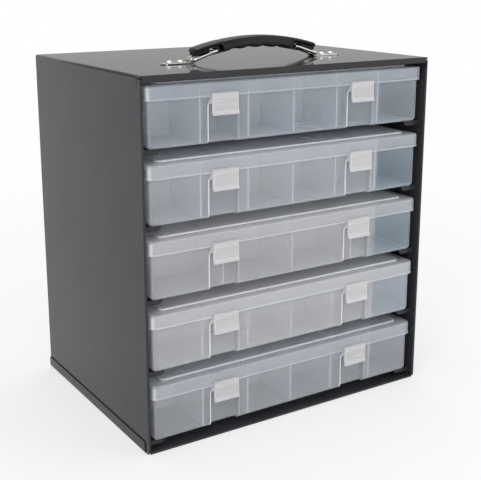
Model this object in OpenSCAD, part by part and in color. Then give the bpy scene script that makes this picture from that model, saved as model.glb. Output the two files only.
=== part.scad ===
// Steel carrying rack with five lidded parts boxes of frosted plastic and a lift-up carrying handle.
// The rack stands on z = 0 with its open front towards -Y and its origin in the middle of the footprint.

/* [Boxes] */
// Number of boxes in the stack
box_count = 5; // [3:1:5]
// Distance from the bottom of one box to the bottom of the next
box_pitch = 73; // [70:0.5:90]
// Box that has the wide compartments, counted from the top
wide_box = 3; // [1:1:5]
// Columns of compartments in an ordinary box
narrow_columns = 6; // [6:2:8]
// Columns of compartments in the box with wide compartments
wide_columns = 4; // [2:2:4]
// Rows of compartments from front to back
row_count = 4; // [2:1:5]
// Width of a lid
lid_w = 333; // [300:1:360]
// Depth of a lid
lid_d = 246; // [220:1:280]
// Height from the bottom of a box to the rim of its lid
box_h = 59; // [56:0.5:62]
// Wall of the base and of the lid
wall_t = 1.6; // [1.2:0.1:2]
// Height of the lid's skirt
skirt_h = 14; // [12:0.5:16]
// Corner radius of the lid
lid_r = 8; // [6:0.5:12]
// Overhang of the lid past the base on every side
lid_overhang = 2.75; // [2.5:0.05:3.5]
// Rise of the lid's middle panel above its rim
panel_raise = 2; // [1:0.1:3]
// Border beside the raised panel
panel_border_x = 14.5; // [10:0.5:24]
// Border in front of and behind the raised panel
panel_border_y = 9; // [6:0.5:20]
// Corner radius of the raised panel
panel_r = 6; // [4:0.5:10]
// Thickness of a divider plate
divider_t = 1.2; // [0.8:0.1:1.6]
// Gap between the top of the dividers and the lid
divider_gap = 0.9; // [0.5:0.1:2]

/* [Latches] */
// Distance of a latch from the middle of the box
latch_x = 83.4; // [70:0.1:95]
// Width of a latch
latch_w = 29; // [24:0.5:36]
// Length of a latch from its hinge to its lip
latch_len = 19; // [17:0.5:22]
// Thickness of a latch
latch_t = 1.8; // [1.4:0.1:2]
// Radius of the bar that a latch hangs on
latch_bar_r = 1.1; // [0.9:0.05:1.2]
// Outer radius of a latch's knuckle
latch_knuckle_r = 2.2; // [2:0.05:2.25]
// Length of a latch's flared finger lip
lip_len = 5; // [4:0.5:7]
// Reach of the finger lip in front of the latch
lip_out = 3.4; // [2:0.1:5]
// Width of the recess under a latch
recess_w = 32; // [30:0.5:40]
// Depth of the recess under a latch
recess_d = 3.5; // [3:0.1:4.5]
// Drop of the catch edge below the lid's skirt
catch_drop = 6; // [5:0.5:7]
// Free play between a latch's hook and the catch edge
hook_play = 1; // [0.9:0.1:1.5]

/* [Lid hinges] */
// Distance of a lid hinge from the middle of the box
hinge_x = 95; // [60:1:120]
// Width of the lid's knuckle
hinge_knuckle_w = 16; // [10:1:24]
// Width of each ear of the base
hinge_ear_w = 7; // [5:0.5:12]
// Radius of a hinge pin
hinge_pin_r = 1; // [0.8:0.05:1.2]
// Outer radius of the knuckles
hinge_knuckle_r = 2.4; // [2.2:0.05:3]

/* [Rack] */
// Thickness of the sheet steel
sheet_t = 1.2; // [0.9:0.1:1.6]
// Outer radius of the sheet's bends
bend_r = 2.4; // [2:0.1:3.5]
// Gap between a lid and the side of the rack
side_gap = 5.1; // [3:0.1:10]
// Gap between the hinges and the back panel
back_gap = 2.6; // [1:0.1:20]
// Gap between the top lid and the top sheet
top_gap = 6.6; // [5:0.1:12]
// Distance of the lids behind the front edge
box_setback = 1; // [0:0.1:4]
// Height of the lowest box above the ground
first_box_z = 10.2; // [9:0.1:16]
// Height of the turned-down lip of the top sheet
top_lip_h = 6; // [4:0.1:8]
// Width of the folded hem along the front edges
hem_w = 6.5; // [5:0.1:10]
// Width of the relief slits at the corners
slit_w = 0.8; // [0.5:0.1:1.2]
// Length of the relief slits at the top corners
slit_len = 11; // [8:0.5:16]
// Height of the bottom pan's side flanges
pan_flange_h = 12; // [8:0.5:20]
// Width of the back panel's flanges
back_flange_w = 10; // [6:0.5:16]
// Radius of the front edge's lower corners
foot_r = 4; // [2:0.5:6]

/* [Runners] */
// Width of the ledge that carries a box
runner_w = 22; // [18:0.5:26]
// Height of a runner
runner_h = 9; // [6:0.1:9]
// Distance of the runners behind the front edge
runner_setback = 8; // [7:0.5:14]
// Height of a runner's turned-down front end
runner_lip_h = 5.5; // [4:0.5:8]
// Chamfer of the lower free corner of that end
runner_chamfer = 3.5; // [1:0.5:4]

/* [Handle] */
// Distance of the handle in front of the middle of the top
handle_forward = 50; // [0:1:60]
// Distance between the two strap eyes
eye_span = 152; // [146:1:170]
// Length of a strap past its eye
strap_len = 34.5; // [32:0.5:44]
// Width of a strap
strap_w = 12; // [10:0.5:14]
// Thickness of a strap
strap_t = 1.5; // [1.2:0.1:1.8]
// Radius of the bail wire
bail_r = 1.6; // [1.4:0.05:1.8]
// Length of a bail between its two bars
bail_len = 28; // [26:0.5:30]
// Angle of a bail above the top when the handle is down
bail_angle = 18; // [16:0.5:20]
// Lift of the grip when it is carried
grip_lift = 10; // [8:0.5:11]
// Length of the grip
grip_len = 150; // [146:1:154]
// Width of the grip
grip_w = 18; // [17.5:0.5:22]
// Width of the grip's web between the bails
grip_web_w = 9; // [7:0.5:10]
// Length of the grip's full middle
grip_middle_len = 88; // [80:1:89]
// Height of the grip's underside above the top, in the middle
grip_under_h = 13; // [12:0.5:16]
// Height of the grip in the middle
grip_h = 12.6; // [11:0.1:15]
// Thickness of the roof over the bails
grip_roof_t = 5; // [4:0.1:5.5]
// Radius of the grip's arch
grip_arch_r = 260; // [240:5:320]
// Number of finger grooves
groove_count = 4; // [3:1:5]
// Distance between the finger grooves
groove_pitch = 19; // [17:0.5:20]
// Depth of the finger grooves
groove_depth = 1.4; // [0.5:0.1:2]
// Distance of the first rivet from the eye
rivet_first = 12.5; // [11:0.5:16]
// Distance between a strap's two rivets
rivet_pitch = 12.3; // [10:0.1:14]
// Radius of a rivet's shank
rivet_r = 2; // [1.5:0.1:2.2]
// Radius of a rivet's head
rivet_head_r = 3.8; // [3:0.1:4.2]
// Height of a rivet's head
rivet_head_h = 2.6; // [2:0.1:3]

/* [Hidden] */
$fn = 48;
// Overlap that makes cuts and joined pieces meet cleanly
eps = 0.5;
// Radial clearance of a turning fit
turn_fit = 0.06;
// Gap between pieces that pass each other
pass_gap = 0.3;
// Gap between folded sheets that lie against each other
fold_gap = 0.1;

// Box sizes: the front of the lid is at y = 0 and the bottom of the base at z = 0
base_w = lid_w - 2 * lid_overhang;
base_d = lid_d - 2 * lid_overhang;
base_r = lid_r - lid_overhang;
base_h = box_h - wall_t - pass_gap;
skirt_z = box_h - skirt_h;
box_total_h = box_h + panel_raise;
inner_w = base_w - 2 * wall_t;
inner_d = base_d - 2 * wall_t;
inner_front = lid_overhang + wall_t;
divider_h = box_h - wall_t - divider_gap - wall_t;
divider_play = 0.4;
divider_slot = divider_t + divider_play;
catch_z = skirt_z - catch_drop;
recess_round = 3;
recess_pad_d = recess_d + wall_t + lid_overhang;

// Height of the latch bars and of the lid hinges: the bars just clear the skirt's lower edge
bar_rise = 0.1;
axis_z = skirt_z + latch_bar_r + bar_rise;

// Latch hinge: the bar lies in a window of the lid's skirt
latch_axis_y = lid_overhang - pass_gap - latch_knuckle_r;
latch_window_w = latch_w + 4 * pass_gap;
latch_window_gap = 0.4;
latch_window_top = axis_z + latch_knuckle_r + latch_window_gap;
hook_top = catch_z - hook_play - axis_z;
hook_h = 2;
hook_tip_gap = 1.2;
hook_reach = lid_overhang + recess_d - hook_tip_gap - latch_axis_y;
hook_inset = 3;
hook_w = latch_w - 2 * hook_inset;
latch_cheek_t = 1.4;
latch_cheek_h = 8;

// Lid hinge
hinge_gap = 0.4;
hinge_axis_y = lid_d + hinge_gap + hinge_knuckle_r;
hinge_reach = hinge_gap + 2 * hinge_knuckle_r;
hinge_ear_x = hinge_knuckle_w / 2 + pass_gap + hinge_ear_w / 2;
hinge_pin_inset = 0.2;
hinge_pin_len = 2 * (hinge_ear_x - hinge_pin_inset) + hinge_ear_w;
ear_arm_h = 2.6;
ear_arm_top = skirt_z - pass_gap;

// Rack sizes
bend_inner_r = bend_r - sheet_t;
rack_w = lid_w + 2 * (side_gap + 2 * sheet_t);
wrap_w = rack_w - 2 * sheet_t;
bay_w = wrap_w - 2 * sheet_t;
rack_d = box_setback + lid_d + hinge_reach + back_gap + sheet_t;
rack_h = first_box_z + (box_count - 1) * box_pitch + box_total_h + top_gap + sheet_t;
front_y = -rack_d / 2;
back_y = rack_d / 2;
side_foot_z = sheet_t + bend_inner_r + fold_gap;
pan_front_y = front_y + hem_w + slit_w / 2;
runner_end_gap = 0.5;
runner_front_y = front_y + runner_setback;
runner_back_y = back_y - sheet_t - back_flange_w - runner_end_gap;
hem_t = 2 * sheet_t;
back_corner_r = bend_inner_r + 2 * fold_gap;

// Handle sizes, measured from the top sheet
eye_bore_r = bail_r + turn_fit;
eye_r = eye_bore_r + strap_t;
eye_rise = 0.2;
eye_z = eye_r + eye_rise;
eye_x = eye_span / 2;
bail_gap = 0.4;
bail_leg_y = strap_w / 2 + bail_gap + bail_r;
bail_pin_dx = bail_len * cos(bail_angle);
bail_pin_dz = bail_len * sin(bail_angle);
bail_up_angle = asin(sin(bail_angle) + grip_lift / bail_len);
bail_slot_run = bail_len * (cos(bail_angle) - cos(bail_up_angle));
bail_slot_play = 0.5;
bail_slot_rise = 0.4;
grip_end_z = eye_z + eye_r + pass_gap;
grip_apex = grip_under_h + grip_h;
groove_r = 16;
rivet_tail_r = 3.2;
rivet_tail_h = 1.4;

// Bottom of box i, counted from the top
function box_z(i) = first_box_z + (box_count - i) * box_pitch;
function columns(i) = i == wide_box ? wide_columns : narrow_columns;
// Sphere radius of a dome with base radius r and height h
function dome_r(r, h) = (r * r + h * h) / (2 * h);
// Height of the grip's underside at distance x from the middle
function grip_under(x) = grip_under_h + sqrt(grip_arch_r * grip_arch_r - x * x) - grip_arch_r;

SIDES = ["left", "right"];
BOX_PIECES = ["base", "lid", "latch_left", "latch_right", "long_dividers", "cross_dividers", "hinge_pins"];
RACK_NODES = ["wrapper", "bottom_pan", "back_panel"];
RUNNER_NODES = [for (side = SIDES, i = [1 : box_count]) str("runner_", side, "_", i)];
HANDLE_NODES = ["strap_left", "strap_right", "handle_rivets", "bail_left", "bail_right", "handle_grip"];
BOX_NODES = [for (i = [1 : box_count], piece = BOX_PIECES) str("box_", i, "_", piece)];
NODES = concat(RACK_NODES, RUNNER_NODES, HANDLE_NODES, BOX_NODES);
node = "all";

STEEL_GREY = "#5e6064";
NICKEL = "#c9c9c6";
BLACK_PLASTIC = "#1b1b1c";
FROSTED = [0.80, 0.83, 0.86, 0.55];
FROSTED_LIGHT = [0.88, 0.89, 0.91, 0.7];

function side_sign(side) = side == "left" ? -1 : 1;
function wanted(name) = node == "all" || node == name;

// Rectangle with four round corners, centred in x, from y = 0 to y = d
module rounded_rect(w, d, r) {
    translate([r - w / 2, 0])
        square([w - 2 * r, d]);
    translate([-w / 2, r])
        square([w, d - 2 * r]);
    for (sx = [-1, 1], y = [r, d - r])
        translate([sx * (w / 2 - r), y])
            circle(r);
}

// Rectangle with two round top corners, centred in x, from y = 0 to y = h
module round_top(w, h, r) {
    translate([-w / 2, 0])
        square([w, h - r]);
    translate([r - w / 2, 0])
        square([w - 2 * r, h]);
    for (sx = [-1, 1])
        translate([sx * (w / 2 - r), h - r])
            circle(r);
}

// Extrudes an outline drawn in x and z along Y, from y0 to y1
module extrude_y(y0, y1) {
    translate([0, y1, 0])
        rotate([90, 0, 0])
            linear_extrude(y1 - y0)
                children();
}

// Cylinder along X, centred on x = 0
module rod_x(r, length) {
    rotate([0, 90, 0])
        cylinder(r = r, h = length, center = true);
}

// Cylinder along Y, centred on y = 0
module rod_y(r, length) {
    rotate([90, 0, 0])
        cylinder(r = r, h = length, center = true);
}

// Dome that stands on z = 0
module dome(r, h) {
    big_r = dome_r(r, h);
    intersection() {
        translate([0, 0, h - big_r])
            sphere(big_r);
        cylinder(r = r + eps, h = h + eps);
    }
}

// Places children at each rivet of the two straps, on the top sheet
module at_rivets() {
    for (sx = [-1, 1], k = [0, 1])
        translate([sx * (eye_x + rivet_first + k * rivet_pitch), -handle_forward, rack_h])
            children();
}

module rivet_holes() {
    at_rivets()
        cylinder(r = rivet_r + turn_fit, h = 4 * (sheet_t + strap_t), center = true);
}

// Left side, top and right side in one bent sheet, with hemmed front edges
module wrapper() {
    color(STEEL_GREY)
        difference() {
            union() {
                difference() {
                    extrude_y(front_y, back_y)
                        difference() {
                            round_top(wrap_w, rack_h, bend_r);
                            translate([0, -eps])
                                round_top(bay_w, rack_h - sheet_t + eps, bend_inner_r);
                        }
                    translate([-rack_w / 2, front_y + hem_w, -eps])
                        cube([rack_w, rack_d, side_foot_z + eps]);
                }
                for (sx = [-1, 1])
                    translate([sx * (bay_w - sheet_t) / 2 - sheet_t / 2, front_y, foot_r])
                        cube([sheet_t, hem_w, rack_h - slit_len - foot_r]);
                translate([-bay_w / 2 + sheet_t, front_y, rack_h - top_lip_h])
                    cube([bay_w - 2 * sheet_t, sheet_t, top_lip_h - sheet_t / 2]);
            }
            for (sx = [-1, 1])
                translate([sx * wrap_w / 2, front_y + hem_w, rack_h - slit_len / 2 + eps])
                    cube([2 * bend_r, slit_w, slit_len + 2 * eps], center = true);
            for (sx = [-1, 1])
                translate([sx * wrap_w / 2, front_y + (hem_w - eps) / 2, rack_h - bend_r - slit_w / 2])
                    cube([2 * bend_r, hem_w + eps, slit_w], center = true);
            front_feet_cut();
            rivet_holes();
        }
}

// Rounds the lower front corners of the two sides
module front_feet_cut() {
    rotate([90, 0, 90])
        linear_extrude(rack_w + 2 * eps, center = true)
            difference() {
                translate([front_y - eps, -eps])
                    square(foot_r + eps);
                translate([front_y + foot_r, foot_r])
                    circle(foot_r);
            }
}

// Floor with side flanges outside the wrapper and a folded front edge
module bottom_pan() {
    front_w = bay_w - 2 * sheet_t - 2 * pass_gap;
    color(STEEL_GREY) {
        extrude_y(pan_front_y, back_y)
            translate([0, pan_flange_h])
                mirror([0, 1])
                    difference() {
                        round_top(rack_w, pan_flange_h, bend_r);
                        translate([0, -eps])
                            round_top(wrap_w, pan_flange_h - sheet_t + eps, bend_inner_r);
                    }
        translate([-front_w / 2, front_y + hem_t / 2, 0])
            cube([front_w, pan_front_y - front_y, sheet_t]);
        translate([-front_w / 2, front_y + hem_t / 2, 0])
            cube([front_w, hem_w, hem_t]);
        translate([0, front_y + hem_t / 2, hem_t / 2])
            rod_x(hem_t / 2, front_w);
    }
}

// Flat back sheet with four flanges turned forward against the wrapper and the floor
module back_panel() {
    panel_h = rack_h - 2 * sheet_t;
    flange_h = panel_h - 2 * bend_r;
    color(STEEL_GREY)
        translate([0, 0, sheet_t]) {
            extrude_y(back_y - sheet_t, back_y)
                round_top(bay_w, panel_h, back_corner_r);
            for (sx = [-1, 1])
                translate([sx * (bay_w - sheet_t) / 2, back_y - (back_flange_w + sheet_t) / 2, panel_h / 2])
                    cube([sheet_t, back_flange_w + sheet_t, flange_h], center = true);
            for (z = [sheet_t / 2, panel_h - sheet_t / 2])
                translate([0, back_y - (back_flange_w + sheet_t) / 2, z])
                    cube([bay_w - 2 * bend_r - 2 * sheet_t, back_flange_w + sheet_t, sheet_t],
                         center = true);
        }
}

// Angle ledge along one side, under box i, with its front end turned down
module runner(side, i) {
    length = runner_back_y - runner_front_y;
    color(STEEL_GREY)
        translate([side_sign(side) * bay_w / 2, 0, box_z(i)])
            mirror([side == "right" ? 1 : 0, 0, 0])
                translate([0, runner_front_y, 0]) {
                    translate([0, 0, -sheet_t])
                        cube([runner_w, length, sheet_t]);
                    translate([0, 0, -runner_h])
                        cube([sheet_t, length, runner_h - sheet_t / 2]);
                    extrude_y(0, sheet_t)
                        polygon([
                            [0, 0], [runner_w, 0], [runner_w, runner_chamfer - runner_lip_h],
                            [runner_w - runner_chamfer, -runner_lip_h], [0, -runner_lip_h],
                        ]);
                }
}

// Moves from the box's own frame to its place in the rack
module in_bay(i) {
    translate([0, front_y + box_setback, box_z(i)])
        children();
}

// Outline of the base's inside, with or without the pads behind the latch recesses
module base_inside(with_pads) {
    difference() {
        translate([0, inner_front])
            rounded_rect(inner_w, inner_d, base_r - wall_t);
        if (with_pads)
            for (sx = [-1, 1])
                translate([sx * latch_x - recess_w / 2 - wall_t, 0])
                    square([recess_w + 2 * wall_t, recess_pad_d]);
    }
}

// Tray with two latch recesses in its front wall and hinge ears on its rear wall
module box_base(i) {
    color(FROSTED)
        in_bay(i)
            difference() {
                union() {
                    linear_extrude(base_h)
                        translate([0, lid_overhang])
                            rounded_rect(base_w, base_d, base_r);
                    for (sx = [-1, 1], ear = [-1, 1])
                        translate([sx * hinge_x + ear * hinge_ear_x, 0, 0])
                            hinge_ear();
                }
                translate([0, 0, wall_t])
                    linear_extrude(catch_z)
                        base_inside(true);
                translate([0, 0, catch_z + wall_t - eps])
                    linear_extrude(base_h)
                        base_inside(false);
                for (sx = [-1, 1])
                    translate([sx * latch_x, 0, -eps])
                        extrude_y(0, lid_overhang + recess_d)
                            round_top(recess_w, catch_z + eps, recess_round);
                translate([0, hinge_axis_y, axis_z])
                    rod_x(hinge_pin_r + turn_fit, lid_w);
            }
}

// Ear of the base that holds a hinge pin, with its arm under the lid's skirt
module hinge_ear() {
    arm_front = lid_d - lid_overhang - wall_t / 2;
    translate([0, hinge_axis_y, axis_z])
        rod_x(hinge_knuckle_r, hinge_ear_w);
    translate([-hinge_ear_w / 2, arm_front, ear_arm_top - ear_arm_h])
        cube([hinge_ear_w, hinge_axis_y - arm_front, ear_arm_h]);
}

// Skirted lid with a raised middle panel, latch bars in front and knuckles behind
module box_lid(i) {
    color(FROSTED_LIGHT)
        in_bay(i) {
            difference() {
                union() {
                    translate([0, 0, skirt_z])
                        linear_extrude(skirt_h)
                            rounded_rect(lid_w, lid_d, lid_r);
                    translate([0, panel_border_y, box_h - eps])
                        linear_extrude(panel_raise + eps)
                            rounded_rect(lid_w - 2 * panel_border_x, lid_d - 2 * panel_border_y, panel_r);
                    for (sx = [-1, 1])
                        translate([sx * hinge_x, 0, 0])
                            lid_knuckle();
                }
                translate([0, wall_t, skirt_z - eps])
                    linear_extrude(skirt_h - wall_t + eps)
                        rounded_rect(lid_w - 2 * wall_t, lid_d - 2 * wall_t, lid_r - wall_t);
                translate([0, panel_border_y + wall_t, skirt_z])
                    linear_extrude(skirt_h - wall_t + panel_raise)
                        rounded_rect(lid_w - 2 * (panel_border_x + wall_t),
                                     lid_d - 2 * (panel_border_y + wall_t), panel_r - wall_t);
                for (sx = [-1, 1])
                    translate([sx * latch_x - latch_window_w / 2, -eps, skirt_z - eps])
                        cube([latch_window_w, wall_t + 2 * eps, latch_window_top - skirt_z + eps]);
                translate([0, hinge_axis_y, axis_z])
                    rod_x(hinge_pin_r + turn_fit, lid_w);
            }
            for (sx = [-1, 1])
                translate([sx * latch_x, latch_axis_y, axis_z])
                    rod_x(latch_bar_r, latch_window_w + 2 * eps);
        }
}

// Knuckle of the lid, held by a web above the hinge line
module lid_knuckle() {
    translate([0, hinge_axis_y, axis_z])
        rod_x(hinge_knuckle_r, hinge_knuckle_w);
    translate([-hinge_knuckle_w / 2, lid_d - wall_t / 2, axis_z + hinge_pin_r])
        cube([hinge_knuckle_w, hinge_axis_y - lid_d + wall_t / 2, hinge_knuckle_r - hinge_pin_r]);
}

// Snap latch that hangs on the lid's bar and hooks under the base's catch edge
module box_latch(side, i) {
    plate_rear = latch_t - latch_knuckle_r;
    lip_top = lip_len - latch_len;
    color(FROSTED_LIGHT)
        in_bay(i)
            translate([side_sign(side) * latch_x, latch_axis_y, axis_z])
                difference() {
                    union() {
                        rod_x(latch_knuckle_r, latch_w);
                        rotate([90, 0, 90])
                            linear_extrude(latch_w, center = true)
                                polygon([
                                    [-latch_knuckle_r, 0], [-latch_knuckle_r, lip_top],
                                    [-latch_knuckle_r - lip_out, -latch_len],
                                    [plate_rear - lip_out, -latch_len],
                                    [plate_rear, lip_top - latch_t / 2], [plate_rear, 0],
                                ]);
                        rotate([90, 0, 90])
                            linear_extrude(hook_w, center = true)
                                polygon([
                                    [plate_rear - eps, hook_top], [hook_reach, hook_top],
                                    [hook_reach, hook_top - hook_h / 2],
                                    [plate_rear - eps, hook_top - hook_h],
                                ]);
                        for (sx = [-1, 1])
                            translate([sx * (latch_w - latch_cheek_t) / 2 - latch_cheek_t / 2,
                                       plate_rear - eps, -latch_cheek_h])
                                cube([latch_cheek_t, latch_knuckle_r - plate_rear + eps, latch_cheek_h]);
                    }
                    rod_x(latch_bar_r + turn_fit, latch_w + 2 * eps);
                }
}

// Front-to-back divider plates, slotted from above
module long_dividers(i) {
    pitch = inner_w / columns(i);
    color(FROSTED)
        in_bay(i)
            for (k = [1 : columns(i) - 1])
                difference() {
                    translate([k * pitch - inner_w / 2 - divider_t / 2, inner_front + pass_gap, wall_t])
                        cube([divider_t, inner_d - 2 * pass_gap, divider_h]);
                    for (row = [1 : row_count - 1])
                        translate([k * pitch - inner_w / 2, inner_front + row * inner_d / row_count,
                                   wall_t + divider_h])
                            cube([2 * divider_t, divider_slot, divider_h], center = true);
                    for (sx = [-1, 1])
                        translate([sx * latch_x - recess_w / 2 - wall_t - pass_gap, 0, 0])
                            cube([recess_w + 2 * (wall_t + pass_gap), recess_pad_d + pass_gap,
                                  catch_z + wall_t + pass_gap]);
                }
}

// Side-to-side divider plates, slotted from below
module cross_dividers(i) {
    pitch = inner_w / columns(i);
    color(FROSTED)
        in_bay(i)
            for (row = [1 : row_count - 1])
                difference() {
                    translate([pass_gap - inner_w / 2,
                               inner_front + row * inner_d / row_count - divider_t / 2, wall_t])
                        cube([inner_w - 2 * pass_gap, divider_t, divider_h]);
                    for (k = [1 : columns(i) - 1])
                        translate([k * pitch - inner_w / 2, inner_front + row * inner_d / row_count, wall_t])
                            cube([divider_slot, 2 * divider_t, divider_h + divider_slot], center = true);
                }
}

// Two wire pins that join the lid to the base
module hinge_pins(i) {
    color(NICKEL)
        in_bay(i)
            for (sx = [-1, 1])
                translate([sx * hinge_x, hinge_axis_y, axis_z])
                    rod_x(hinge_pin_r, hinge_pin_len);
}

// Moves to the strap eye of one side
module at_eye(side) {
    translate([side_sign(side) * eye_x, -handle_forward, rack_h + eye_z])
        children();
}

// Riveted strap with a rolled eye at its inner end
module strap(side) {
    outward = side_sign(side);
    end_r = strap_w / 2;
    color(NICKEL)
        difference() {
            union() {
                at_eye(side)
                    rod_y(eye_r, strap_w);
                translate([outward * eye_x, -handle_forward, rack_h])
                    linear_extrude(strap_t) {
                        translate([outward * (strap_len - end_r), 0])
                            circle(end_r);
                        translate([outward * (bail_r + strap_len - end_r) / 2, 0])
                            square([strap_len - end_r - bail_r, strap_w], center = true);
                    }
            }
            at_eye(side)
                rod_y(eye_bore_r, strap_w + 2 * eps);
            rivet_holes();
        }
}

// Four dome-headed rivets through the straps and the top sheet
module handle_rivets() {
    color(NICKEL)
        at_rivets() {
            translate([0, 0, strap_t])
                dome(rivet_head_r, rivet_head_h);
            translate([0, 0, -sheet_t - eps / 2])
                cylinder(r = rivet_r, h = sheet_t + strap_t + eps);
            translate([0, 0, -sheet_t])
                mirror([0, 0, 1])
                    dome(rivet_tail_r, rivet_tail_h);
        }
}

// Closed wire loop that hangs in a strap's eye and carries one end of the grip
module bail(side) {
    color(NICKEL)
        at_eye(side)
            rotate([0, side_sign(side) * bail_angle, 0]) {
                end_x = -side_sign(side) * bail_len;
                for (x = [0, end_x])
                    translate([x, 0, 0])
                        rod_y(bail_r, 2 * bail_leg_y);
                for (sy = [-1, 1])
                    translate([end_x / 2, sy * bail_leg_y, 0])
                        rod_x(bail_r, bail_len);
                for (x = [0, end_x], sy = [-1, 1])
                    translate([x, sy * bail_leg_y, 0])
                        sphere(bail_r);
            }
}

// Side outline of the grip: an arch whose underside is at under_h in the middle, flat over the strap eyes
module grip_outline(length, under_h) {
    intersection() {
        difference() {
            translate([0, grip_apex - grip_arch_r])
                circle(grip_arch_r, $fn = 180);
            translate([0, under_h - grip_arch_r])
                circle(grip_arch_r, $fn = 180);
        }
        translate([-length / 2, grip_end_z])
            square([length, grip_apex]);
    }
}

// Arched grip with finger grooves below and a slotted web at each end for the bails
module handle_grip() {
    color(BLACK_PLASTIC)
        translate([0, -handle_forward, rack_h])
            difference() {
                union() {
                    extrude_y(-grip_w / 2, grip_w / 2)
                        grip_outline(grip_middle_len, grip_under_h);
                    extrude_y(-grip_w / 2, grip_w / 2)
                        grip_outline(grip_len, grip_apex - grip_roof_t);
                    extrude_y(-grip_web_w / 2, grip_web_w / 2)
                        grip_outline(grip_len, grip_under_h);
                }
                for (k = [0 : groove_count - 1])
                    finger_groove((k - (groove_count - 1) / 2) * groove_pitch);
                for (side = SIDES)
                    bail_slot(side);
            }
}

// Shallow round groove across the grip's underside at distance x from the middle
module finger_groove(x) {
    translate([x, 0, grip_under(x) + groove_depth - groove_r])
        rod_y(groove_r, grip_w + 2 * eps);
}

// Slot in the grip's web that a bail's upper bar slides along as the grip is lifted
module bail_slot(side) {
    outward = side_sign(side);
    r = bail_r + bail_slot_play;
    pin_x = eye_x - bail_pin_dx;
    extrude_y(-grip_web_w / 2 - eps, grip_web_w / 2 + eps)
        translate([outward * pin_x, eye_z + bail_pin_dz]) {
            for (x = [0, bail_slot_run], z = [0, bail_slot_rise])
                translate([outward * x, z])
                    circle(r);
            translate([outward * bail_slot_run / 2, bail_slot_rise / 2])
                square([bail_slot_run, 2 * r + bail_slot_rise], center = true);
            translate([outward * bail_slot_run / 2, bail_slot_rise / 2])
                square([bail_slot_run + 2 * r, bail_slot_rise], center = true);
        }
}

if (wanted("wrapper")) wrapper();
if (wanted("bottom_pan")) bottom_pan();
if (wanted("back_panel")) back_panel();
for (side = SIDES) {
    for (i = [1 : box_count])
        if (wanted(str("runner_", side, "_", i))) runner(side, i);
    if (wanted(str("strap_", side))) strap(side);
    if (wanted(str("bail_", side))) bail(side);
}
if (wanted("handle_rivets")) handle_rivets();
if (wanted("handle_grip")) handle_grip();
for (i = [1 : box_count]) {
    if (wanted(str("box_", i, "_base"))) box_base(i);
    if (wanted(str("box_", i, "_lid"))) box_lid(i);
    for (side = SIDES)
        if (wanted(str("box_", i, "_latch_", side))) box_latch(side, i);
    if (wanted(str("box_", i, "_long_dividers"))) long_dividers(i);
    if (wanted(str("box_", i, "_cross_dividers"))) cross_dividers(i);
    if (wanted(str("box_", i, "_hinge_pins"))) hinge_pins(i);
}
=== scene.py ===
"""Dresses a five-box parts rack: frosted boxes, enamelled sheet steel, plated fittings and a grip.

Sizes are written in millimetres and turned into metres when a mesh is made. The frame has +Z up and the
rack's open front towards -Y. A box's own frame starts at the middle of its lid's front edge, at the
underside of its base.
"""

import logging
import math
from dataclasses import dataclass, field
from enum import Enum

import bpy
import numpy as np
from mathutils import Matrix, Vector


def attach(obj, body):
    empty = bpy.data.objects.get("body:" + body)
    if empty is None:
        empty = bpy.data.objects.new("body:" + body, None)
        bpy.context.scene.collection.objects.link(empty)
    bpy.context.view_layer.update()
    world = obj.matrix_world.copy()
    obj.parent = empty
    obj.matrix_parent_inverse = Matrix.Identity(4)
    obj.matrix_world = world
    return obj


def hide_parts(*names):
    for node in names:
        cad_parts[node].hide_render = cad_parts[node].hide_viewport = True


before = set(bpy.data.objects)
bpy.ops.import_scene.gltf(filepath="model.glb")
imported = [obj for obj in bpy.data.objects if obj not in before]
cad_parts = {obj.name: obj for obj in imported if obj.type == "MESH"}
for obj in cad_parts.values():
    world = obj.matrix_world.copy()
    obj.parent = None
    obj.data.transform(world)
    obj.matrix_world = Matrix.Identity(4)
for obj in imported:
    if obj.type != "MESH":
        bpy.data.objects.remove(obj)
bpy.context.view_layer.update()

MM = 0.001
LIGHT_AND_EDGE_SHARE = "painted_light_and_edge_share"
TINY = 1e-9
LEAST_CORNER = 0.4
END_STEPS = 4
BARREL_SOFT = 0.2
CREASE = 32.0
MIX_SHARE, MIX_FIRST, MIX_SECOND, MIX_RESULT = 0, 6, 7, 2
LOG = logging.getLogger("parts_box_rack")

Colour = tuple[float, float, float]
Socket = bpy.types.NodeSocket
Value = float | Colour | tuple[float, float, float, float] | Socket


class Side(Enum):
    """Left or right half of the rack, seen from its open front."""

    LEFT = -1.0
    RIGHT = 1.0

    @property
    def word(self) -> str:
        """Gives the word that node names use."""
        return self.name.lower()


class Slot(Enum):
    """Material slots of the record, one named in each new piece's place."""

    NICKEL_PLATE = "nickel_plate"
    GRIP_PLASTIC = "grip_plastic"
    FROSTED_BASE = "frosted_base"
    FROSTED_LID = "frosted_lid"
    FROSTED_LATCH = "frosted_latch"


class Axis(Enum):
    """Direction that a plate's wide faces look along."""

    NONE = (0.0, 0.0, 0.0)
    ACROSS = (1.0, 0.0, 0.0)
    ALONG = (0.0, 1.0, 0.0)


class Tone(Enum):
    """Casts of the frosted plastic: its milk, and its milk in thinner patches. The bluest is painted
    shade, for the shaded right end of a box.
    """

    THIN = ((0.68, 0.81, 0.95), (0.63, 0.76, 0.89))
    COOL = ((0.76, 0.82, 0.89), (0.69, 0.76, 0.85))
    MILD = ((0.80, 0.83, 0.88), (0.73, 0.77, 0.83))
    PLAIN = ((0.83, 0.84, 0.87), (0.77, 0.78, 0.82))
    WHITE = ((0.90, 0.89, 0.90), (0.86, 0.85, 0.86))


# Point grids


def smooth_step(low: float, high: float, x: np.ndarray) -> np.ndarray:
    """Rises from 0 to 1 between two values.

    The share t of the way from low to high, held within 0 and 1, gives t squared times (3 minus 2t).

    Args:
        low: value where the rise starts.
        high: value where it ends.
        x: values to map.

    Returns:
        Shares from 0 to 1.
    """
    t = np.clip((x - low) / (high - low), 0.0, 1.0)
    return t * t * (3.0 - 2.0 * t)


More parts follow.
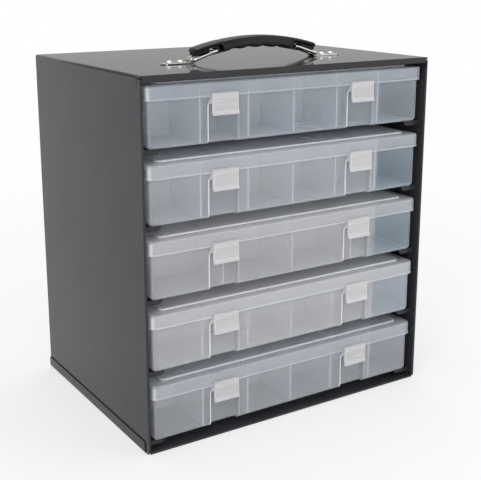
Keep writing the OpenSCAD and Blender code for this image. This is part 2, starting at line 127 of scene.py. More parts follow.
def arc_points(
    centre: tuple[float, float], radius: float, start: float, end: float, steps: int
) -> np.ndarray:
    """Samples an arc: the centre plus the radius times the cosine and sine of evenly spaced angles.

    Args:
        centre: middle of the arc.
        radius: its radius.
        start: first angle, in degrees.
        end: last angle, in degrees.
        steps: number of points.

    Returns:
        Points as (steps, 2).
    """
    angle = np.radians(np.linspace(start, end, steps))
    return np.array(centre) + radius * np.stack([np.cos(angle), np.sin(angle)], axis=-1)


def full_turn(steps: int) -> np.ndarray:
    """Spaces angles evenly round a circle, in radians."""
    return np.linspace(0.0, 2 * math.pi, steps, endpoint=False)


def sideways(along: np.ndarray) -> np.ndarray:
    """Turns plane directions (n, 2) by a quarter turn: (a, b) becomes (b, -a)."""
    return np.stack([along[:, 1], -along[:, 0]], axis=-1)


def rounded_loops(rings: np.ndarray, front_share: np.ndarray, arc_steps: int) -> np.ndarray:
    """Stacks rounded rectangles into a grid.

    A ring runs along its front edge at fixed shares of the straight length, and then round its four
    corners as quarter circles. The sides and the back are the straight steps between corners.

    Args:
        rings: one row per ring: half width, front y, back y, corner radius and height.
        front_share: places along the front edge, each between -1 and 1.
        arc_steps: points in each corner.

    Returns:
        Points as (rings, points round a ring, 3).
    """
    half, front, back, corner, height = (rings[:, k, None] for k in range(5))
    straight = half - corner
    turn = np.linspace(0.0, math.pi / 2, arc_steps)[None, :]
    xs = [straight * front_share[None, :]]
    ys = [front + 0.0 * xs[0]]
    near = front + corner
    far = back - corner
    for sign, centre_y, half_turns in ((1, near, -0.5), (1, far, 0.0), (-1, far, 0.5), (-1, near, 1.0)):
        angle = turn + half_turns * math.pi
        xs.append(sign * straight + corner * np.cos(angle))
        ys.append(centre_y + corner * np.sin(angle))
    x = np.concatenate(xs, axis=1)
    y = np.concatenate(ys, axis=1)
    return np.stack([x, y, height + 0.0 * x], axis=-1)


def inset_ring(outer: tuple[float, float, float, float], inset: float, height: float) -> list[float]:
    """Shrinks a rounded rectangle by the same amount on all sides.

    Args:
        outer: half width, front y, back y and corner radius.
        inset: how far every edge moves inwards.
        height: height of the new ring.

    Returns:
        A row for rounded_loops.
    """
    half, front, back, corner = outer
    return [half - inset, front + inset, back - inset, max(corner - inset, LEAST_CORNER), height]


def inset_rings(outer: tuple[float, float, float, float], curve: np.ndarray) -> list[list[float]]:
    """Shrinks a rounded rectangle once for each inset and height of a curve (n, 2)."""
    return [inset_ring(outer, inset, height) for inset, height in curve]


def corner_shares(front_points: int, arc_steps: int, spread: float) -> np.ndarray:
    """Says how close each point of a rounded loop is to the middle of a corner, as a bell over its arc.

    Args:
        front_points: points along the front edge.
        arc_steps: points in each corner.
        spread: half width of the bell, as a share of the arc.

    Returns:
        Shares from 0 to 1, one for each point round the loop.
    """
    bell = np.exp(-((np.linspace(-0.5, 0.5, arc_steps) / spread) ** 2))
    return np.concatenate([np.zeros(front_points), np.tile(bell, 4)])


def carry_across(
    profile: np.ndarray, half_width: float, soft: float, between: tuple[float, ...] = ()
) -> np.ndarray:
    """Carries a closed outline in y and z along X, with softened ends.

    The outline is constant along x. Over the last soft millimetres at each end it is drawn in along its
    own normals by a quarter-circle law.

    Args:
        profile: outline points (n, 2), going round once.
        half_width: half of the length along X.
        soft: radius of the softened ends.
        between: more stations between the ends.

    Returns:
        Points as (stations, n, 3).
    """
    onward = np.roll(profile, -1, axis=0)
    along = onward - np.roll(profile, 1, axis=0)
    normal = sideways(along)
    normal /= np.maximum(np.linalg.norm(normal, axis=1, keepdims=True), TINY)
    area = np.sum(profile[:, 0] * onward[:, 1] - onward[:, 0] * profile[:, 1])
    normal *= np.sign(area)
    angle = np.linspace(0.0, math.pi / 2, END_STEPS)
    ends = half_width - soft * (1 - np.sin(angle))
    place = np.concatenate([-ends[::-1], between, ends])
    draw = soft * (1 - np.cos(np.concatenate([angle[::-1], np.zeros(len(between)), angle])))
    moved = profile[None] - draw[:, None, None] * normal[None]
    x = np.broadcast_to(place[:, None], moved.shape[:2])
    return np.concatenate([x[..., None], moved], axis=-1)


def barrel(x0: float, x1: float, bore: float, radius: float, steps: int) -> np.ndarray:
    """Turns a small rectangle round the X axis, so that it makes a ring with a bore.

    Args:
        x0: one end.
        x1: other end.
        bore: inner radius.
        radius: outer radius.
        steps: points round the axis.

    Returns:
        Points as (rectangle corners, steps, 3), which close on themselves both ways.
    """
    soft = BARREL_SOFT * (radius - bore)
    x = np.array([x0, x0, x0 + soft, x1 - soft, x1, x1])
    r = np.array([bore, radius - soft, radius, radius, radius - soft, bore])
    angle = full_turn(steps)
    y = r[:, None] * np.cos(angle)
    z = r[:, None] * np.sin(angle)
    return np.stack([np.broadcast_to(x[:, None], y.shape), y, z], axis=-1)


def turned(radii: np.ndarray, heights: np.ndarray, steps: int) -> np.ndarray:
    """Turns a profile of radii and heights round the Z axis.

    Args:
        radii: distance from the axis at each profile point.
        heights: height of each profile point.
        steps: points round the axis.

    Returns:
        Points as (profile points, steps, 3).
    """
    angle = full_turn(steps)
    x = radii[:, None] * np.cos(angle)
    y = radii[:, None] * np.sin(angle)
    return np.stack([x, y, np.broadcast_to(heights[:, None], x.shape)], axis=-1)


def faces_volume(points: np.ndarray, corners: np.ndarray) -> float:
    """Sums the signed volumes of the pyramids from the origin to the two triangles of each quad.

    A pyramid is a sixth of the product of its first corner with the cross product of the other two.

    Args:
        points: all points (n, 3).
        corners: point numbers (faces, 4).

    Returns:
        Signed volume, positive where the faces look outwards.
    """
    a, b, c, d = (points[corners[:, k]] for k in range(4))
    halves = np.einsum("ij,ij->i", a, np.cross(b, c)) + np.einsum("ij,ij->i", a, np.cross(c, d))
    return float(halves.sum()) / 6.0


@dataclass
class Shell:
    """Gathers point grids, in millimetres, into one mesh whose parts are all closed."""

    points: list[np.ndarray] = field(default_factory=list)
    edges: list[np.ndarray] = field(default_factory=list)
    faces: list[list[int]] = field(default_factory=list)
    total: int = 0

    def add(self, grid: np.ndarray, capped: bool = True, edge: np.ndarray | float = 0.0) -> "Shell":
        """Joins a grid's rings into a closed part and turns its faces outwards.

        Args:
            grid: points (rings, points round a ring, 3).
            capped: True where flat ends close the first and last ring, False where these two meet.
            edge: share from 0 to 1, at each point, of extra milk and white: partly real milk on narrow
                edges, mostly painted highlight and painted light.

        Returns:
            The shell itself.
        """
        rings, around, _ = grid.shape
        flat = grid.reshape(-1, 3)
        index = np.arange(rings * around).reshape(rings, around)
        lower = index[:-1] if capped else index
        upper = index[1:] if capped else np.roll(index, -1, axis=0)
        quads = [lower, np.roll(lower, -1, 1), np.roll(upper, -1, 1), upper]
        corners = np.stack(quads, axis=-1).reshape(-1, 4)
        caps = [index[0, ::-1], index[-1]] if capped else []
        hub = np.zeros(around - 2, dtype=int)
        fans = [np.stack([cap[hub], cap[1:-1], cap[2:], cap[2:]], axis=-1) for cap in caps]
        volume = faces_volume(flat - flat.mean(0), np.concatenate([corners, *fans]))
        turn = 1 if volume > 0 else -1
        self.faces += (corners[:, ::turn] + self.total).tolist()
        self.faces += [(cap[::turn] + self.total).tolist() for cap in caps]
        self.points.append(flat)
        self.edges.append(np.broadcast_to(edge, (rings, around)).ravel())
        self.total += len(flat)
        return self

    def moved(self, offset: tuple[float, float, float]) -> "Shell":
        """Moves every part by the same offset and gives the shell itself."""
        self.points = [part + np.array(offset) for part in self.points]
        return self

    def mesh(self, name: str) -> bpy.types.Mesh:
        """Makes the mesh, in metres, smooth except along edges sharper than the crease.

        Args:
            name: name of the mesh.

        Returns:
            The new mesh.
        """
        mesh = bpy.data.meshes.new(name)
        mesh.from_pydata((np.concatenate(self.points) * MM).tolist(), [], self.faces)
        # The shares become a point attribute: painted highlight and painted light on the frosted plastic,
        # with some real edge milk.
        shares = mesh.attributes.new(LIGHT_AND_EDGE_SHARE, "FLOAT", "POINT")
        shares.data.foreach_set("value", np.concatenate(self.edges).astype(np.float32))
        mesh.shade_smooth()
        mesh.set_sharp_from_angle(angle=math.radians(CREASE))
        return mesh


@dataclass(frozen=True)
class PlaceOf:
    """Where a new piece belongs: the node it stands for, its body and its slot."""

    node: str
    body: str
    slot: Slot


def set_piece(shell: Shell, place: PlaceOf, material: bpy.types.Material) -> None:
    """Turns a shell into a piece that stands for a node.

    Args:
        shell: the closed parts of the piece.
        place: what the piece stands for.
        material: its finish.
    """
    name = f"{place.node}.look"
    piece = bpy.data.objects.new(name, shell.mesh(name))
    piece.data.materials.append(material)
    bpy.context.scene.collection.objects.link(piece)
    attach(piece, place.body)
    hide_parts(place.node)
    LOG.info("%s: %d faces, rides on %s", name, len(piece.data.polygons), place.body)


def dress_node(node: str, material: bpy.types.Material) -> bpy.types.Object:
    """Gives a solid that stays in view its finish.

    Args:
        node: name of the solid.
        material: its finish.

    Returns:
        The node's object.
    """
    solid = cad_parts[node]
    solid.data.materials.clear()
    solid.data.materials.append(material)
    LOG.info("%s: dressed with %s", node, material.name)
    return solid


# Finishes


@dataclass
class NodeBoard:
    """Adds and joins shader nodes in one tree."""

    tree: bpy.types.NodeTree

    def add(self, kind: str, **settings: object) -> bpy.types.Node:
        """Adds a node.

        Args:
            kind: the node's type name.
            settings: the node's own properties.

        Returns:
            The new node.
        """
        node = self.tree.nodes.new(kind)
        for name, value in settings.items():
            setattr(node, name, value)
        return node

    def put(self, socket: Socket, value: Value) -> None:
        """Sets a socket to a plain value, or joins it to another socket.

        Args:
            socket: input to set.
            value: number, colour, vector or output socket.
        """
        if isinstance(value, bpy.types.NodeSocket):
            self.tree.links.new(value, socket)
        elif socket.type == "RGBA" and len(value) == 3:
            socket.default_value = (*value, 1.0)
        else:
            socket.default_value = value

    def put_all(self, node: bpy.types.Node, values: dict[str, Value]) -> None:
        """Sets inputs of a node by their names.

        Args:
            node: the node.
            values: a value or an output socket for each input's name.
        """
        for name, value in values.items():
            self.put(node.inputs[name], value)

    def math(self, operation: str, *values: Value) -> Socket:
        """Adds a Math node.

        Args:
            operation: its operation.
            values: its inputs, in order.

        Returns:
            Its output.
        """
        node = self.add("ShaderNodeMath", operation=operation)
        for socket, value in zip(node.inputs, values):
            self.put(socket, value)
        return node.outputs[0]

    def vector(self, operation: str, *values: Value) -> bpy.types.Node:
        """Adds a Vector Math node.

        Args:
            operation: its operation.
            values: its inputs, in order.

        Returns:
            The node, whose outputs depend on the operation.
        """
        node = self.add("ShaderNodeVectorMath", operation=operation)
        for socket, value in zip(node.inputs, values):
            self.put(socket, value)
        return node

    def span(self, value: Value, low: float, high: float, to_low: float, to_high: float) -> Socket:
        """Maps a value smoothly from one span to another.

        Args:
            value: the value.
            low: start of its span.
            high: end of its span.
            to_low: result at the start.
            to_high: result at the end.

        Returns:
            The mapped value.
        """
        node = self.add("ShaderNodeMapRange", interpolation_type="SMOOTHSTEP")
        for socket, number in zip(node.inputs, (value, low, high, to_low, to_high)):
            self.put(socket, number)
        return node.outputs[0]

    def blend(self, share: Value, first: Value, second: Value) -> Socket:
        """Mixes two colours.

        Args:
            share: share of the second colour.
            first: first colour.
            second: second colour.

        Returns:
            The mixed colour.
        """
        node = self.add("ShaderNodeMix", data_type="RGBA")
        self.put(node.inputs[MIX_SHARE], share)
        self.put(node.inputs[MIX_FIRST], first)
        self.put(node.inputs[MIX_SECOND], second)
        return node.outputs[MIX_RESULT]

    def noise(self, vector: Value, scale: Value, detail: float, roughness: float = 0.5) -> Socket:
        """Adds a noise texture.

        Args:
            vector: where it is read.
            scale: how many cells per metre.
            detail: number of finer layers.
            roughness: weight of the finer layers.

        Returns:
            Its value, from 0 to 1.
        """
        node = self.add("ShaderNodeTexNoise")
        self.put_all(node, {"Vector": vector, "Scale": scale, "Detail": detail, "Roughness": roughness})
        return node.outputs["Fac"]

    def place(self) -> Socket:
        """Gives the surface's Object coordinates."""
        return self.add("ShaderNodeTexCoord").outputs["Object"]

    def bump(self, height: Value, strength: float, distance: float) -> Socket:
        """Adds a Bump node.

        Args:
            height: height from 0 to 1.
            strength: how strongly it acts.
            distance: height in metres that 1 stands for.

        Returns:
            The bent normal.
        """
        node = self.add("ShaderNodeBump")
        self.put_all(node, {"Height": height, "Strength": strength, "Distance": distance})
        return node.outputs["Normal"]

    def use(self, group: bpy.types.NodeTree, **values: Value) -> bpy.types.Node:
        """Places a shared effect.

        Args:
            group: the effect's node group.
            values: its inputs by name.

        Returns:
            The placed group.
        """
        node = self.add("ShaderNodeGroup", node_tree=group)
        self.put_all(node, values)
        return node


class SocketKind(Enum):
    """Kinds of socket that the shared effects have."""

    NUMBER = "NodeSocketFloat"
    ARROW = "NodeSocketVector"


class SharedEffects:
    """Shader groups that more than one finish uses."""

    def __init__(self) -> None:
        """Builds every group once."""
        self.mottle = self.build_mottle()
        self.relief = self.build_relief()
        self.rubbed = self.build_rubbed()
        self.thin_edge = self.build_thin_edge()

    @staticmethod
    def start(
        name: str, inputs: dict[str, SocketKind], output: str
    ) -> tuple[NodeBoard, bpy.types.Node, Socket]:
        """Makes an empty group with named sockets.

        Args:
            name: the group's name.
            inputs: its inputs and their kinds.
            output: its one output, a number.

        Returns:
            The board, the group's input node and the socket that takes its result.
        """
        tree = bpy.data.node_groups.new(name, "ShaderNodeTree")
        for title, kind in inputs.items():
            tree.interface.new_socket(title, in_out="INPUT", socket_type=kind.value)
        tree.interface.new_socket(output, in_out="OUTPUT", socket_type=SocketKind.NUMBER.value)
        board = NodeBoard(tree)
        given = board.add("NodeGroupInput")
        result = board.add("NodeGroupOutput")
        return board, given, result.inputs[output]

    def build_mottle(self) -> bpy.types.NodeTree:
        """Builds soft uneven patches: a coarse and a finer noise, three parts to one.

        Returns:
            The group.
        """
        inputs = {"Place": SocketKind.ARROW, "Scale": SocketKind.NUMBER}
        board, given, result = self.start("mottle", inputs, "Patches")
        finer_by = 5.3
        coarse_part = 0.75
        fine_scale = board.math("MULTIPLY", given.outputs["Scale"], finer_by)
        coarse = board.noise(given.outputs["Place"], given.outputs["Scale"], detail=2.0)
        finer = board.noise(given.outputs["Place"], fine_scale, detail=3.0)
        rest = board.math("MULTIPLY", finer, 1.0 - coarse_part)
        weighted = board.math("MULTIPLY_ADD", coarse, coarse_part, rest)
        board.put(result, board.span(weighted, low=0.3, high=0.7, to_low=0.0, to_high=1.0))
        return board.tree

    def build_relief(self) -> bpy.types.NodeTree:
        """Builds a fine relief: a detailed noise plus rounded cells, as on moulded or sprayed surfaces.

        Returns:
            The group.
        """
        inputs = {"Place": SocketKind.ARROW, "Scale": SocketKind.NUMBER, "Cells": SocketKind.NUMBER}
        board, given, result = self.start("fine_relief", inputs, "Height")
        grain = board.noise(given.outputs["Place"], given.outputs["Scale"], detail=4.0, roughness=0.6)
        cells = board.add("ShaderNodeTexVoronoi", feature="SMOOTH_F1")
        board.put_all(cells, {"Vector": given.outputs["Place"], "Scale": given.outputs["Scale"]})
        pits = board.math("MULTIPLY", cells.outputs["Distance"], given.outputs["Cells"])
        board.put(result, board.math("ADD", grain, pits))
        return board.tree

    def build_rubbed(self) -> bpy.types.NodeTree:
        """Builds faint rubbing marks: a stretched noise, of which only the peaks count.

        Returns:
            The group.
        """
        inputs = {"Place": SocketKind.ARROW, "Scale": SocketKind.NUMBER, "Amount": SocketKind.NUMBER}
        board, given, result = self.start("rubbed_marks", inputs, "Marks")
        stretch = (1.0, 0.12, 0.5)
        stretched = board.vector("MULTIPLY", given.outputs["Place"], stretch).outputs[0]
        streaks = board.noise(stretched, given.outputs["Scale"], detail=5.0, roughness=0.7)
        peaks = board.span(streaks, low=0.56, high=0.72, to_low=0.0, to_high=1.0)
        board.put(result, board.math("MULTIPLY", peaks, given.outputs["Amount"]))
        return board.tree

    def build_thin_edge(self) -> bpy.types.NodeTree:
        """Builds a mask of a plate's narrow faces: 1 minus the normal's part along the plate's axis.

        Returns:
            The group.
        """
        inputs = {"Normal": SocketKind.ARROW, "Axis": SocketKind.ARROW}
        board, given, result = self.start("thin_edge", inputs, "Edge")
        product = board.vector("DOT_PRODUCT", given.outputs["Normal"], given.outputs["Axis"])
        along = board.math("ABSOLUTE", product.outputs["Value"])
        board.put(result, board.math("SUBTRACT", 1.0, along))
        return board.tree


def start_material(name: str) -> tuple[bpy.types.Material, NodeBoard, bpy.types.Node]:
    """Makes a node material with one Principled shader.

    Args:
        name: the finish's name.

    Returns:
        The material, its board and the shader.
    """
    material = bpy.data.materials.new(name)
    material.use_nodes = True
    shader = material.node_tree.nodes["Principled BSDF"]
    return material, NodeBoard(material.node_tree), shader


@dataclass(frozen=True)
class Enamel:
    """Gloss charcoal enamel on sheet steel, with a faint sprayed ripple and rubbed patches."""

    name: str
    deep: Colour = (0.035, 0.0358, 0.040)
    pale: Colour = (0.042, 0.0428, 0.047)
    gloss: float = 0.07
    ior: float = 1.28
    patch_scale: float = 14.0
    patch_rough: float = 0.04
    mark_scale: float = 60.0
    mark_amount: float = 0.5
    mark_rough: float = 0.12
    ripple_scale: float = 520.0
    ripple_cells: float = 0.3
    ripple_high: float = 0.02
    ripple_strength: float = 0.10
    dents: tuple[tuple[float, float], ...] = ()
    dent_radius: float = 3.2
    dent_core: float = 0.4
    dent_deep: float = 12.0
    dent_shade: float = 0.6
    dent_shade_colour: Colour = (0.012, 0.012, 0.013)

    def material(self, effects: SharedEffects) -> bpy.types.Material:
        """Builds the finish.

        Args:
            effects: the shared groups.

        Returns:
            The material.
        """
        material, board, shader = start_material(self.name)
        place = board.place()
        patches = board.use(effects.mottle, Place=place, Scale=self.patch_scale).outputs[0]
        marks = board.use(effects.rubbed, Place=place, Scale=self.mark_scale, Amount=self.mark_amount)
        ripple = board.use(effects.relief, Place=place, Scale=self.ripple_scale, Cells=self.ripple_cells)
        colour = board.blend(patches, self.deep, self.pale)
        height = ripple.outputs[0]
        # Painted shade in each given dent: the colour darkens towards its middle, besides the dent in the
        # bump.
        for x, y in self.dents:
            flat = board.vector("MULTIPLY", place, (1.0, 1.0, 0.0)).outputs[0]
            gap = board.vector("DISTANCE", flat, (x * MM, y * MM, 0.0)).outputs["Value"]
            radius = self.dent_radius * MM
            dent = board.span(gap, self.dent_core * radius, radius, 1.0, 0.0)
            colour = board.blend(board.math("MULTIPLY", dent, self.dent_shade), colour, self.dent_shade_colour)
            height = board.math("SUBTRACT", height, board.math("MULTIPLY", dent, self.dent_deep))
        rough = board.math("MULTIPLY_ADD", patches, self.patch_rough, self.gloss)
        rough = board.math("MULTIPLY_ADD", marks.outputs[0], self.mark_rough, rough)
        normal = board.bump(height, self.ripple_strength, self.ripple_high * MM)
        board.put_all(shader, {"Base Color": colour, "Roughness": rough, "Normal": normal})
        board.put(shader.inputs["IOR"], self.ior)
        return material


@dataclass(frozen=True)
class PlatedSteel:
    """Bright plated steel with light handling marks."""

    name: str
    bright: Colour = (0.80, 0.78, 0.74)
    dull: Colour = (0.62, 0.60, 0.57)
    gloss: float = 0.05
    patch_scale: float = 120.0
    patch_rough: float = 0.07
    mark_scale: float = 400.0
    mark_amount: float = 0.6
    mark_rough: float = 0.15
    relief_scale: float = 900.0
    relief_cells: float = 0.2
    relief_high: float = 0.02
    relief_strength: float = 0.06

    def material(self, effects: SharedEffects) -> bpy.types.Material:
        """Builds the finish.

        Args:
            effects: the shared groups.

        Returns:
            The material.
        """
        material, board, shader = start_material(self.name)
        place = board.place()
        patches = board.use(effects.mottle, Place=place, Scale=self.patch_scale).outputs[0]
        marks = board.use(effects.rubbed, Place=place, Scale=self.mark_scale, Amount=self.mark_amount)
        relief = board.use(effects.relief, Place=place, Scale=self.relief_scale, Cells=self.relief_cells)
        rough = board.math("MULTIPLY_ADD", patches, self.patch_rough, self.gloss)
        rough = board.math("MULTIPLY_ADD", marks.outputs[0], self.mark_rough, rough)
        normal = board.bump(relief.outputs[0], self.relief_strength, self.relief_high * MM)
        colour = board.blend(patches, self.bright, self.dull)
        board.put_all(shader, {"Base Color": colour, "Roughness": rough, "Normal": normal})
        board.put(shader.inputs["Metallic"], 1.0)
        return material


@dataclass(frozen=True)
class GripPlastic:
    """Black moulded plastic, glossy on the roof, and grained and greyer below it for the hand."""

    name: str
    black: Colour = (0.004, 0.004, 0.0045)
    grey: Colour = (0.030, 0.032, 0.034)
    shine: float = 0.3
    grained_half: float = 43.0
    fade: float = 1.5
    arch_centre: float = 136.6
    roof_radius: float = 255.0
    roof_fade: float = 0.3
    grain_scale: float = 1100.0
    grain_cells: float = 1.2
    grain_high: float = 0.12
    grain_strength: float = 0.35
    grain_rough: float = 0.28
    gloss: float = 0.16
    patch_scale: float = 90.0
    patch_rough: float = 0.06
    speckle: float = 0.35

    def material(self, effects: SharedEffects) -> bpy.types.Material:
        """Builds the finish.

        Args:
            effects: the shared groups.

        Returns:
            The material.
        """
        material, board, shader = start_material(self.name)
        place = board.place()
        apart = board.add("ShaderNodeSeparateXYZ")
        board.put(apart.inputs[0], place)
        reach = board.math("ABSOLUTE", apart.outputs["X"])
        limit = self.grained_half * MM
        along = board.span(reach, limit - self.fade * MM, limit, 1.0, 0.0)
        centre = (0.0, 0.0, self.arch_centre * MM)
        from_centre = board.vector("SUBTRACT", place, centre).outputs[0]
        upright = board.vector("MULTIPLY", from_centre, (1.0, 0.0, 1.0)).outputs[0]
        out = board.vector("LENGTH", upright).outputs["Value"]
        roof = self.roof_radius * MM
        fade = self.roof_fade * MM
        grained = board.math("MULTIPLY", along, board.span(out, roof - fade, roof + fade, 1.0, 0.0))
        relief = board.use(effects.relief, Place=place, Scale=self.grain_scale, Cells=self.grain_cells)
        patches = board.use(effects.mottle, Place=place, Scale=self.patch_scale).outputs[0]
        speckle = board.math("MULTIPLY_ADD", patches, self.speckle, 1.0 - self.speckle)
        share = board.math("MULTIPLY", grained, speckle)
        rough = board.math("MULTIPLY_ADD", grained, self.grain_rough, self.gloss)
        rough = board.math("MULTIPLY_ADD", patches, self.patch_rough, rough)
        height = board.math("MULTIPLY", relief.outputs[0], grained)
        normal = board.bump(height, self.grain_strength, self.grain_high * MM)
        colour = board.blend(share, self.black, self.grey)
        board.put_all(shader, {"Base Color": colour, "Roughness": rough, "Normal": normal})
        board.put(shader.inputs["Specular IOR Level"], self.shine)
        return material


@dataclass(frozen=True)
class FrostedPlastic:
    """Milky see-through plastic: a veil, denser at a slant, denser and whiter on edges as real edge milk
    and painted highlight, and clearer and bluer at one end as painted shade.
    """

    name: str
    tone: Tone = Tone.COOL
    edge_and_highlight_milk: Colour = (0.92, 0.94, 0.96)
    veil: float = 0.13
    uneven: float = 0.04
    rim: float = 1.1
    slant: float = 0.35
    edge_and_highlight_veil: float = 0.7
    least_veil: float = 0.02
    rim_power: float = 2.0
    gloss: float = 0.22
    shine: float = 0.8
    patch_scale: float = 11.0
    patch_rough: float = 0.06
    relief_scale: float = 240.0
    relief_cells: float = 0.4
    relief_high: float = 0.02
    relief_strength: float = 0.02
    plate_axis: Axis = Axis.NONE
    end_shade: float = 0.0
    end_shade_full: float = 0.10
    end_shade_from: float = 104.0
    end_shade_to: float = 114.0

    def material(self, effects: SharedEffects) -> bpy.types.Material:
        """Builds the finish.

        Args:
            effects: the shared groups.

        Returns:
            The material.
        """
        material, board, shader = start_material(self.name)
        place = board.place()
        patches = board.use(effects.mottle, Place=place, Scale=self.patch_scale).outputs[0]
        relief = board.use(effects.relief, Place=place, Scale=self.relief_scale, Cells=self.relief_cells)
        if self.plate_axis is Axis.NONE:
            edge = board.add("ShaderNodeAttribute", attribute_name=LIGHT_AND_EDGE_SHARE).outputs["Fac"]
        else:
            normal = board.add("ShaderNodeTexCoord").outputs["Normal"]
            edge = board.use(effects.thin_edge, Normal=normal, Axis=self.plate_axis.value).outputs[0]
        facing = board.add("ShaderNodeLayerWeight")
        board.put(facing.inputs["Blend"], self.slant)
        steep = board.math("POWER", facing.outputs["Facing"], self.rim_power)
        grazing = board.math("MULTIPLY", steep, self.rim)
        veil = board.math("ADD", board.math("MULTIPLY_ADD", patches, self.uneven, self.veil), grazing)
        # Edges get more milk: real milk on narrow faces, and painted highlight and painted light where the
        # shares say so.
        veil = board.math("MULTIPLY_ADD", edge, self.edge_and_highlight_veil, veil)
        colour = board.blend(patches, *self.tone.value)
        # Painted shade: towards the right end the veil thins and the cast turns bluer.
        if self.end_shade > 0.0:
            apart = board.add("ShaderNodeSeparateXYZ")
            board.put(apart.inputs[0], place)
            end = board.span(apart.outputs["X"], self.end_shade_from * MM, self.end_shade_to * MM, 0.0, 1.0)
            veil = board.math("MULTIPLY_ADD", end, -self.end_shade, veil)
            cast = board.math("MULTIPLY", end, self.end_shade / self.end_shade_full)
            colour = board.blend(cast, colour, board.blend(patches, *Tone.THIN.value))
        rough = board.math("MULTIPLY_ADD", patches, self.patch_rough, self.gloss)
        alpha = board.math("MAXIMUM", board.math("MINIMUM", veil, 1.0), self.least_veil)
        normal = board.bump(relief.outputs[0], self.relief_strength, self.relief_high * MM)
        # Edges turn whiter: partly real edge milk, mostly painted highlight.
        colour = board.blend(edge, colour, self.edge_and_highlight_milk)
        board.put_all(shader, {"Base Color": colour, "Roughness": rough, "Normal": normal})
        board.put_all(shader, {"Alpha": alpha, "Specular IOR Level": self.shine})
        return material


# Boxes


@dataclass(frozen=True)
class BoxSizes:
    """Sizes that the pieces of one compartment box share."""

    lid_half: float = 166.5
    lid_back: float = 246.0
    lid_corner: float = 8.0
    overhang: float = 2.75
    wall: float = 1.6
    rim_z: float = 59.0
    panel_z: float = 61.0
    skirt_z: float = 45.0
    base_top: float = 57.1
    panel_border_x: float = 14.5
    panel_border_y: float = 9.0
    panel_corner: float = 6.0
    latch_x: float = 83.4
    latch_axis_y: float = 0.25
    axis_z: float = 46.2
    window_half: float = 15.1
    window_top: float = 48.8
    bar_radius: float = 1.1
    hinge_x: float = 95.0
    hinge_y: float = 248.8
    hinge_radius: float = 2.4
    hinge_bore: float = 1.06
    hinge_steps: int = 28
    web_soft: float = 0.2
    front_y: float = -127.0
    first_z: float = 302.2
    pitch: float = 73.0
    end_step: float = 0.4
    latch_clear: float = 0.3

    def origin(self, number: int) -> tuple[float, float, float]:
        """Gives the place of box 1, the top one, to 5 in the rack's frame."""
        return (0.0, self.front_y, self.first_z - self.pitch * (number - 1))

    def front_shares(self, edges: np.ndarray, spacing: float, half: float) -> np.ndarray:
        """Spreads points along a front edge: even steps, and extra ones round each latch.

        Args:
            edges: distances from a latch's middle that need a point.
            spacing: even step along the rest of the edge.
            half: half of the straight front edge.

        Returns:
            Places as shares of half, in rising order.
        """
        even = np.arange(-half + spacing / 2, half, spacing)
        extra = np.concatenate([side.value * self.latch_x + edges for side in Side])
        reach = np.abs(edges).max() + self.latch_clear
        near = np.min(np.abs(even[:, None] - self.latch_x * np.array([-1.0, 1.0])), axis=1) < reach
        ends = np.array([-half + self.end_step, half - self.end_step])
        return np.sort(np.concatenate([even[~near], extra, ends])) / half

    def add_knuckle(
        self, shell: Shell, x: float, width: float, wall_y: float, rise: tuple[float, float]
    ) -> None:
        """Adds a ring round the hinge's axis, and the web that joins it to a wall.

        Args:
            shell: where both go.
            x: middle of the ring.
            width: width of ring and web.
            wall_y: where the web starts in the wall.
            rise: lower and upper height of the web.
        """
        low, high = rise
        ring = barrel(-width / 2, width / 2, self.hinge_bore, self.hinge_radius, self.hinge_steps)
        web = np.array([[wall_y, low], [self.hinge_y, low], [self.hinge_y, high], [wall_y, high]])
        shell.add(ring + np.array([x, self.hinge_y, self.axis_z]), capped=False)
        shell.add(carry_across(web, width / 2, self.web_soft) + np.array([x, 0.0, 0.0]))


